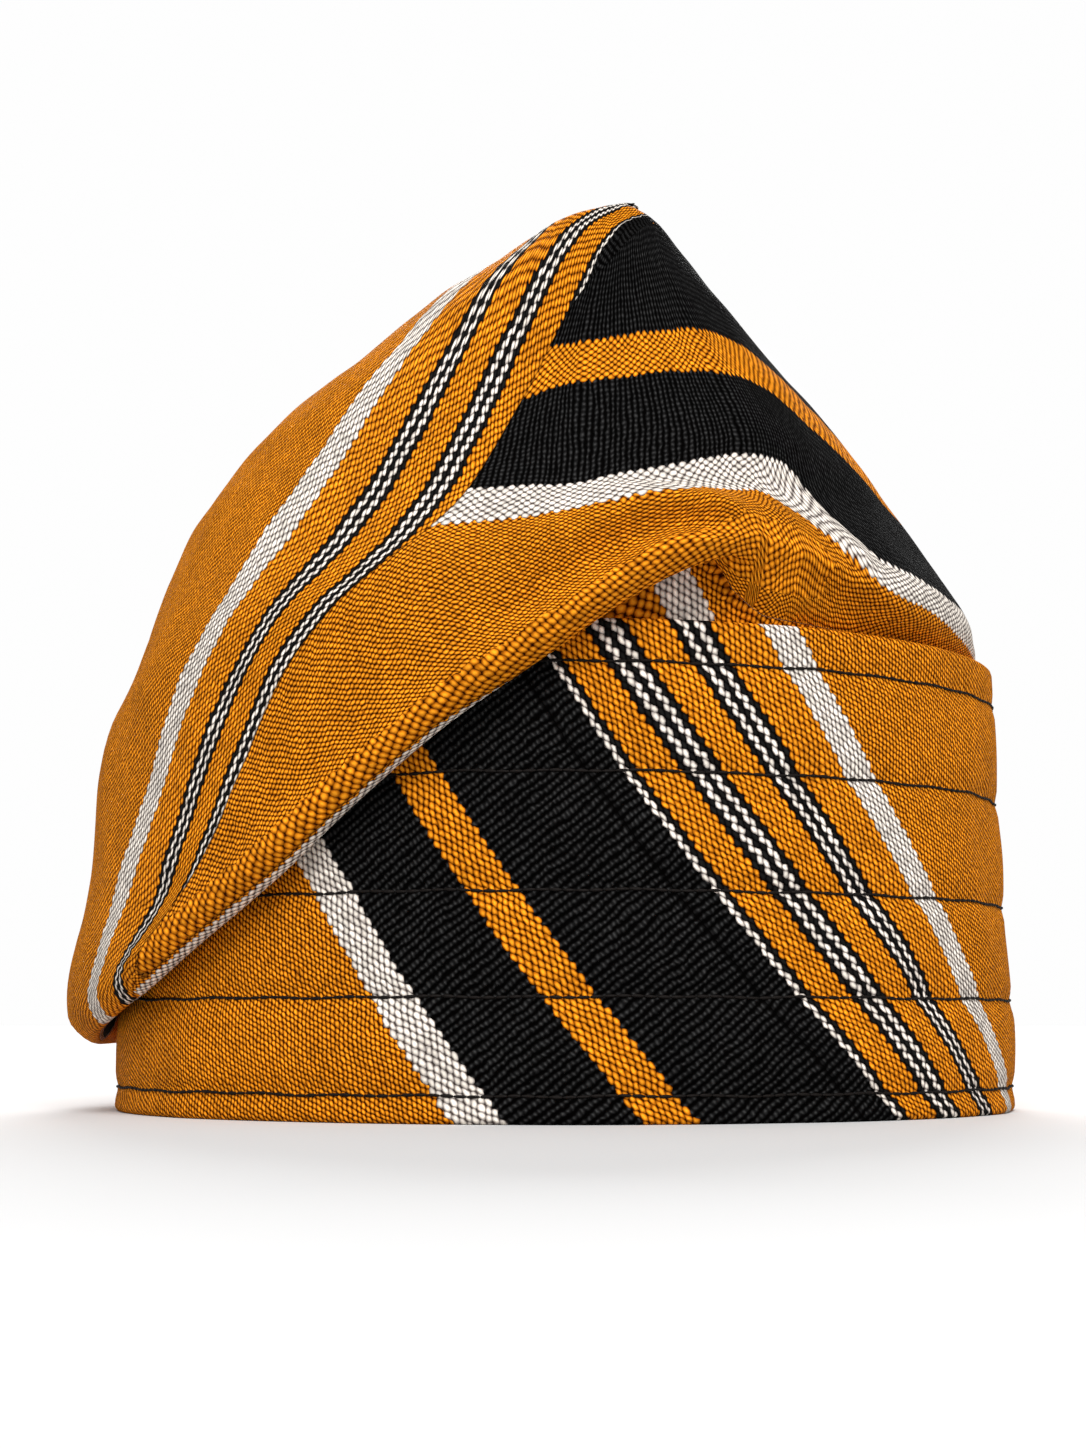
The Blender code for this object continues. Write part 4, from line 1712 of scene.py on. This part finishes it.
@dataclass
class Crown:
    """The tall crown, folded down over the band on the viewer's left.

    Sizes of the form are in metres and those of the pattern in mm. A pair of azimuths or lengths says
    where something starts and where it is full, or where it starts to fade and where it is gone.
    """

    form: CrownForm = field(default_factory=CrownForm)
    columns: int = 240
    steps: tuple[int, ...] = (3, 5, 4, 4, 8, 8, 5, 5, 14, 18, 7, 12, 7, 8, 9, 8, 6, 5, 5)
    wall: float = 0.0012
    hump_size: float = 0.026
    hump_depth: float = 0.0011
    ripple_size: float = 0.009
    ripple_depth: float = 0.00035
    # The rows, counted from the rolled edge, over which the humps set in
    soft_rows: tuple[int, int] = (-2, 6)
    # From this azimuth on, the right panel counts from the viewer's right
    right_from: float = 125.0
    back_seam: float = 217.0
    left_lean: float = 30.0
    # The cloth inside the band: where its pattern starts, leans, narrows and runs
    inner_start: float = 28.2
    inner_lean: float = 0.55
    inner_narrow: float = 0.70
    inner_share: float = 0.6
    inner_run: tuple[float, float] = (0.8, 0.6)
    # The black patch on the underside of the flap's tip
    tip_shade: tuple[float, float] = (59.0, 86.0)
    tip_from: float = -1.5
    tip_across: float = WIDE_BLACK + 6.0
    top_black: float = 26.5
    folded_from: float = 0.2
    roll_start: tuple[float, float] = (-22.0, -6.0)
    roll_rise: tuple[float, float] = (-16.0, -4.0)
    roll_fade: tuple[float, float] = (48.0, 66.0)
    corner_rise: tuple[float, float] = (-62.0, -48.0)
    corner_fade: tuple[float, float] = (-22.0, -15.0)
    slope_step: float = 3.0
    thread_scale: float = 1.2
    stripe_reach: float = 4.5
    lead_in: float = 20.0
    bead_rise: tuple[float, float] = (-6.0, -4.0)
    bead_fade: tuple[float, float] = (4.0, 14.0)
    bead_start: tuple[float, float] = (-38.0, -24.0)
    hem_line: float = 2.4
    hem_start: tuple[float, float] = (3.0, 14.0)
    # The seam attribute off the white line, and its limit inside the first map's cloth
    off_hem: float = -9.0
    seam_limit: float = 6.0

    def __post_init__(self) -> None:
        """Works out the columns and how far each of their points lies from the rolled edge."""
        self.azimuths = [-90 + 360 * n / self.columns for n in range(self.columns + 1)]
        self.turned = [self.from_right(azimuth) for azimuth in self.azimuths]
        self.lines = [self.form.column(azimuth, self.steps) for azimuth in self.azimuths]
        self.roll_row = sum(self.steps[: Stretch.ROLL.value])
        self.turn_row = sum(self.steps[: Stretch.UNDER.value])
        self.lengths = [self.from_roll(line) for line in self.lines]
        self.edge_run = self.run_along_edge()
        self.marks = [self.right_marks(column) for column in range(self.columns + 1)]

    def from_right(self, azimuth: float) -> float:
        """Gives an azimuth as the right panel counts it, from the back seam round the right."""
        return azimuth if azimuth < self.right_from else azimuth - 360

    def arc(self, degrees: float) -> float:
        """Gives the length of an arc of the band's hem, in mm."""
        return math.radians(degrees) * self.form.band.hem_radius / MILLIMETRE

    def from_roll(self, line: Sequence[Vector]) -> list[float]:
        """Gives how far along a column each point lies from the rolled edge, in mm.

        Args:
            line: the points of the column, in order.

        Returns:
            The distance of each point.
        """
        total, found = 0.0, [0.0]
        for before, after in zip(line, line[1:]):
            total += (after - before).length / MILLIMETRE
            found.append(total)
        return [value - found[self.roll_row] for value in found]

    def edge_slope(self, azimuth: float) -> float:
        """Gives how steeply the stripes of the right panel rise to the viewer's right, in radians.

        Args:
            azimuth: the direction from the band's axis, in degrees.

        Returns:
            The slope.
        """
        step = self.slope_step
        across = math.radians(2 * step) * self.form.band.hem_radius
        turned = self.from_right(azimuth)
        mirrored = azimuth if azimuth <= 90 else 180 - azimuth
        white, rolled = RIGHT_CURVES["white_low"], FOLD_CURVES["roll_height"]
        beside = math.atan((white(turned - step) - white(turned + step)) / across)
        below = math.atan((rolled(mirrored - step) - rolled(mirrored + step)) / across)
        return mix(beside, below, smoothstep(*self.roll_start, mirrored))

    def run_along_edge(self) -> list[float]:
        """Gives how far each column lies along the stripes of the right panel, in mm.

        Returns:
            The distance of each column.
        """
        total, found = 0.0, []
        for azimuth in self.azimuths:
            found.append(total)
            total -= self.arc(360 / self.columns) / math.cos(self.edge_slope(azimuth))
        return found

    def left_cloth(self, column: int, row: int) -> tuple[float, float]:
        """Gives the cloth coordinates of a point on the left panel.

        Args:
            column: the number of the point's column.
            row: the number of the point in its column.

        Returns:
            How far the point lies across the stripes and along them, in mm.
        """
        azimuth, length = self.azimuths[column], self.lengths[column][row]
        height = self.lines[column][row].z
        keys = [LEFT_CURVES[name](height) for name in LEFT_LINES]
        lean = math.radians(self.left_lean)
        if azimuth > keys[-1]:
            across = -self.arc(azimuth - keys[-1]) * math.cos(lean)
        elif azimuth < keys[0]:
            across = MARGIN + self.arc(keys[0] - azimuth) * math.cos(lean)
        else:
            across = line_value(keys, list(LEFT_LINES.values()), azimuth)
        if length < self.tip_from and self.tip_shade[0] < azimuth < self.tip_shade[1]:
            across = self.tip_across
        down = self.lengths[column][-1] - length
        return across, down * math.cos(lean) + self.arc(azimuth) * math.sin(lean)

    def inner_cloth(self, column: int, row: int) -> tuple[float, float]:
        """Gives the cloth coordinates of a point inside the band and on the turn over its edge.

        Args:
            column: the number of the point's column.
            row: the number of the point in its column.

        Returns:
            How far the point lies across the stripes and along them, in mm.
        """
        around = -math.radians(self.azimuths[column]) * self.form.band.top_radius / MILLIMETRE
        up = (self.lines[column][row].z - self.form.band.height) / MILLIMETRE
        across = (self.inner_start - around - self.inner_lean * up) * self.inner_narrow
        run_up, run_around = self.inner_run
        return min(across, mix(WHITE_END, across, self.inner_share)), up * run_up - around * run_around

    def is_folded(self, column: int) -> bool:
        """Tells whether a column has a rolled edge."""
        return FOLD_CURVES["folded"](self.azimuths[column]) > self.folded_from

    def right_marks(self, column: int) -> tuple[list[float], list[float]]:
        """Finds where the lines of the right panel cross a column.

        Args:
            column: the column's number.

        Returns:
            How far each line lies from the rolled edge along the column, and how far up the cloth
            from the lower edge of the white stripe, in mm.
        """
        lengths = self.lengths[column]
        first = self.roll_row if self.is_folded(column) else 0
        heights = [point.z for point in self.lines[column][first:]]
        places = []
        for name in RIGHT_LINES:
            height = RIGHT_CURVES[name](self.turned[column])
            above = max(1, min(len(heights) - 1, bisect.bisect_right(heights, height)))
            share = (height - heights[above - 1]) / max(LEAST_RISE, heights[above] - heights[above - 1])
            places.append(mix(lengths[first + above - 1], lengths[first + above], share))
        across = list(RIGHT_LINES.values())
        across.append(across[-1] + min(lengths[-1] - places[-1], self.top_black))
        places.append(lengths[-1])
        if first:
            return [0.0, *places], [RIGHT_CURVES["edge"](self.turned[column]), *across]
        return [places[0] - self.lead_in, *places], [-self.lead_in, *across]

    def right_cloth(self, column: int, row: int) -> tuple[float, float]:
        """Gives the cloth coordinates of a point on the right panel and the roll.

        Args:
            column: the number of the point's column.
            row: the number of the point in its column.

        Returns:
            How far the point lies across the stripes and along them, in mm.
        """
        places, marks = self.marks[column]
        length = self.lengths[column][row]
        across = GROUND - line_value(places, marks, length)
        slope = self.edge_slope(self.azimuths[column])
        straight = max(1.0, places[1] - places[0])
        reach = length if length < 0 else min(length, straight)
        run = reach if length < 0 else reach - reach * reach / (2 * straight)
        above_middle = length - (places[1] + places[2]) / 2
        beside = self.stripe_reach * math.tanh(above_middle / self.stripe_reach)
        run = mix(beside, run, smoothstep(*self.roll_start, self.turned[column]))
        return across, (self.edge_run[column] + run * math.sin(slope)) * self.thread_scale

    def hem(self, column: int, row: int) -> float:
        """Gives how far a point lies inside the white line along the rolled edge, in mm.

        Args:
            column: the number of the point's column.
            row: the number of the point in its column.

        Returns:
            The distance.
        """
        turned = self.turned[column]
        if not self.is_folded(column) or turned < self.hem_start[0]:
            return self.off_hem
        return self.hem_line * smoothstep(*self.hem_start, turned) - self.lengths[column][row]

    def inside(self, column: int, row: int) -> float:
        """Gives how far a point lies inside the left panel, in mm.

        Args:
            column: the number of the point's column.
            row: the number of the point in its column.

        Returns:
            The distance.
        """
        azimuth = self.azimuths[column]
        cut = LEFT_CURVES["seam"](self.lines[column][row].z)
        return self.arc(min(azimuth - cut, self.back_seam - azimuth))

    def seam(self, column: int, row: int) -> float:
        """Gives how far a point lies inside the cloth of the first map, in mm; it is below 0 outside.

        Args:
            column: the number of the point's column.
            row: the number of the point in its column.

        Returns:
            The distance.
        """
        if row <= self.turn_row:
            return self.seam_limit
        return max(self.inside(column, row), min(self.seam_limit, self.hem(column, row)))

    def beads(self, column: int, row: int) -> float:
        """Gives how strongly the cloth is stretched over the roll's edge into rows of large floats."""
        near = window(self.bead_rise, self.bead_fade, self.lengths[column][row])
        return near * smoothstep(*self.bead_start, self.turned[column])

    def is_hem(self, column: int, row: int) -> bool:
        """Tells whether a face is in the white line along the rolled edge."""
        return self.hem(column, row) > self.inside(column, row)

    def near_cloth(self, column: int, row: int, on_hem: bool) -> tuple[float, float]:
        """Gives the cloth coordinates on the left panel, along the rolled edge and inside the band.

        Args:
            column: the number of the point's column.
            row: the number of the point in its column.
            on_hem: whether the point belongs to the rolled edge.

        Returns:
            How far the point lies across the stripes and along them, in mm.
        """
        if row <= self.turn_row:
            return self.inner_cloth(column, row)
        if on_hem:
            return GROUND - self.hem(column, row), self.right_cloth(column, row)[1]
        return self.left_cloth(column, row)

    def rolling(self, column: int, row: int) -> float:
        """Gives how far the rolled edge and the fold beside it swell out, and in behind them.

        Args:
            column: the number of the point's column.
            row: the number of the point in its column.

        Returns:
            The shift outwards, in metres.
        """
        turned, length = self.turned[column], self.lengths[column][row]
        above = (self.lines[column][row].z - CORNER_CURVES["height"](turned)) / MILLIMETRE
        share = window(self.corner_rise, self.corner_fade, turned)
        lift = share * sum(swell.lift(above) for swell in CORNER_SWELLS)
        if self.is_folded(column):
            share = window(self.roll_rise, self.roll_fade, turned)
            lift += share * sum(swell.lift(length) for swell in ROLL_SWELLS)
        return lift

    def soften(
        self, shape: bmesh.types.BMesh, swell: bmesh.types.BMLayerItem, level: bmesh.types.BMLayerItem
    ) -> None:
        """Gives the outer layer the slight humps and ripples of soft cloth.

        Args:
            shape: the crown.
            swell: the layer that says how far each point stands out at the rolled edge.
            level: the layer that says which row each point is in.
        """
        shape.normal_update()
        first, full = (self.roll_row + row for row in self.soft_rows)
        moves = []
        for vert in shape.verts:
            lift = unevenness(vert.co, self.hump_size, self.hump_depth)
            lift += unevenness(vert.co, self.ripple_size, self.ripple_depth)
            moves.append(vert.normal * (lift * smoothstep(first, full, vert[level]) + vert[swell]))
        for vert, move in zip(shape.verts, moves):
            vert.co += move

    def build(self, material: bpy.types.Material) -> bpy.types.Object:
        """Models and dresses the crown.

        Args:
            material: the crown's finish.

        Returns:
            The crown.
        """
        rows = len(self.lines[0]) - 1

        def place(column: int, row: int) -> Vector:
            """Gives the place of a point of the cloth."""
            return self.lines[column][row] + BAND_AXIS

        shape, spots = bent_grid(self.columns, rows, place)
        map_cloth(shape, spots, "left_panel", self.near_cloth, self.is_hem)
        map_cloth(shape, spots, "right_panel", lambda column, row, _: self.right_cloth(column, row))
        seam = shape.verts.layers.float.new("seam")
        beads = shape.verts.layers.float.new("beads")
        swell = shape.verts.layers.float.new("swell")
        level = shape.verts.layers.int.new("level")
        shape.verts.ensure_lookup_table()
        for vert, spot in zip(shape.verts, spots):
            vert[seam] = self.seam(*spot)
            vert[beads] = self.beads(*spot)
            vert[swell] = self.rolling(*spot)
            vert[level] = spot[1]
        close_wall(shape, shape.verts[spots.index((1, 1))])
        self.soften(shape, swell, level)
        piece = finished_piece("striped_crown", shape, material, ["crown"])
        cloth = piece.modifiers.new("cloth", "SOLIDIFY")
        cloth.thickness = self.wall
        cloth.offset = -1.0
        return piece


@dataclass(frozen=True)
class SoftLight:
    """A broad soft light, far away."""

    name: str
    place: tuple[float, float, float]
    power: float
    spread: float

    def build(self) -> bpy.types.Object:
        """Hangs the light, turned to the cap.

        Returns:
            The light.
        """
        data = bpy.data.lights.new(self.name, "SUN")
        data.energy = self.power
        data.angle = math.radians(self.spread)
        lamp = add_object(self.name, data)
        lamp.location = self.place
        lamp.rotation_euler = Vector(self.place).to_track_quat("Z", "Y").to_euler()
        return lamp


@dataclass
class Studio:
    """The pale floor, the soft lights and the camera."""

    picture_height: int = 1448
    focal_pixels: float = 2563.0
    camera_place: tuple[float, float, float] = (0.0003, -0.550, 0.0175)
    camera_tilt: float = 6.7
    sensor: float = 36.0
    clip_start: float = 0.01
    floor_size: float = 60.0
    world_light: float = 0.45
    backdrop: float = 0.99
    key: SoftLight = SoftLight("key", (0.06, -0.68, 0.72), 2.30, 38.0)
    rim: SoftLight = SoftLight("rim", (0.02, 0.82, 0.50), 2.05, 26.0)

    def floor(self) -> bpy.types.Object:
        """Lays the floor.

        Returns:
            The floor.
        """
        shape = bmesh.new()
        bmesh.ops.create_grid(shape, x_segments=1, y_segments=1, size=self.floor_size / 2)
        mesh = make_mesh("floor", shape)
        mesh.materials.append(FloorFinish().material())
        floor = add_object("floor", mesh)
        return floor

    def world(self) -> bpy.types.World:
        """Lights the scene evenly, with a white background.

        Returns:
            The world.
        """
        world = bpy.data.worlds.new("studio")
        world.use_nodes = True
        sheet = Sheet(world.node_tree)
        background = world.node_tree.nodes["Background"]
        seen = sheet.node("ShaderNodeLightPath").outputs["Is Camera Ray"]
        sheet.feed(background.inputs["Strength"], sheet.mix(seen, self.world_light, self.backdrop))
        background.inputs["Color"].default_value = (1.0, 1.0, 1.0, 1.0)
        bpy.context.scene.world = world
        return world

    def camera(self) -> bpy.types.Object:
        """Sets up the camera at the photograph's place.

        Returns:
            The camera.
        """
        data = bpy.data.cameras.new("camera")
        data.sensor_width = self.sensor
        data.lens = self.focal_pixels / self.picture_height * self.sensor
        data.clip_start = self.clip_start
        camera = add_object("camera", data)
        camera.location = self.camera_place
        camera.rotation_euler = (math.radians(90 + self.camera_tilt), 0.0, 0.0)
        bpy.context.scene.camera = camera
        return camera

    def build(self) -> None:
        """Sets up the whole studio."""
        self.floor()
        self.world()
        self.key.build()
        self.rim.build()
        self.camera()
        bpy.context.scene.view_settings.view_transform = "Standard"


def main() -> None:
    """Builds the cap and its studio."""
    logging.basicConfig(level=logging.INFO, format="%(name)s: %(message)s")
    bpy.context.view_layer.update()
    cloth = ClothLook().group(float_group(), stripe_group())
    band = Band()
    band.build(ClothFinish("band_cloth_finish", "cloth").material(cloth))
    Stitching(band).build(ThreadFinish().material())
    Crown().build(ClothFinish("crown_cloth_finish", "left_panel", "right_panel").material(cloth))
    Studio().build()


if __name__ == "__main__":
    main()
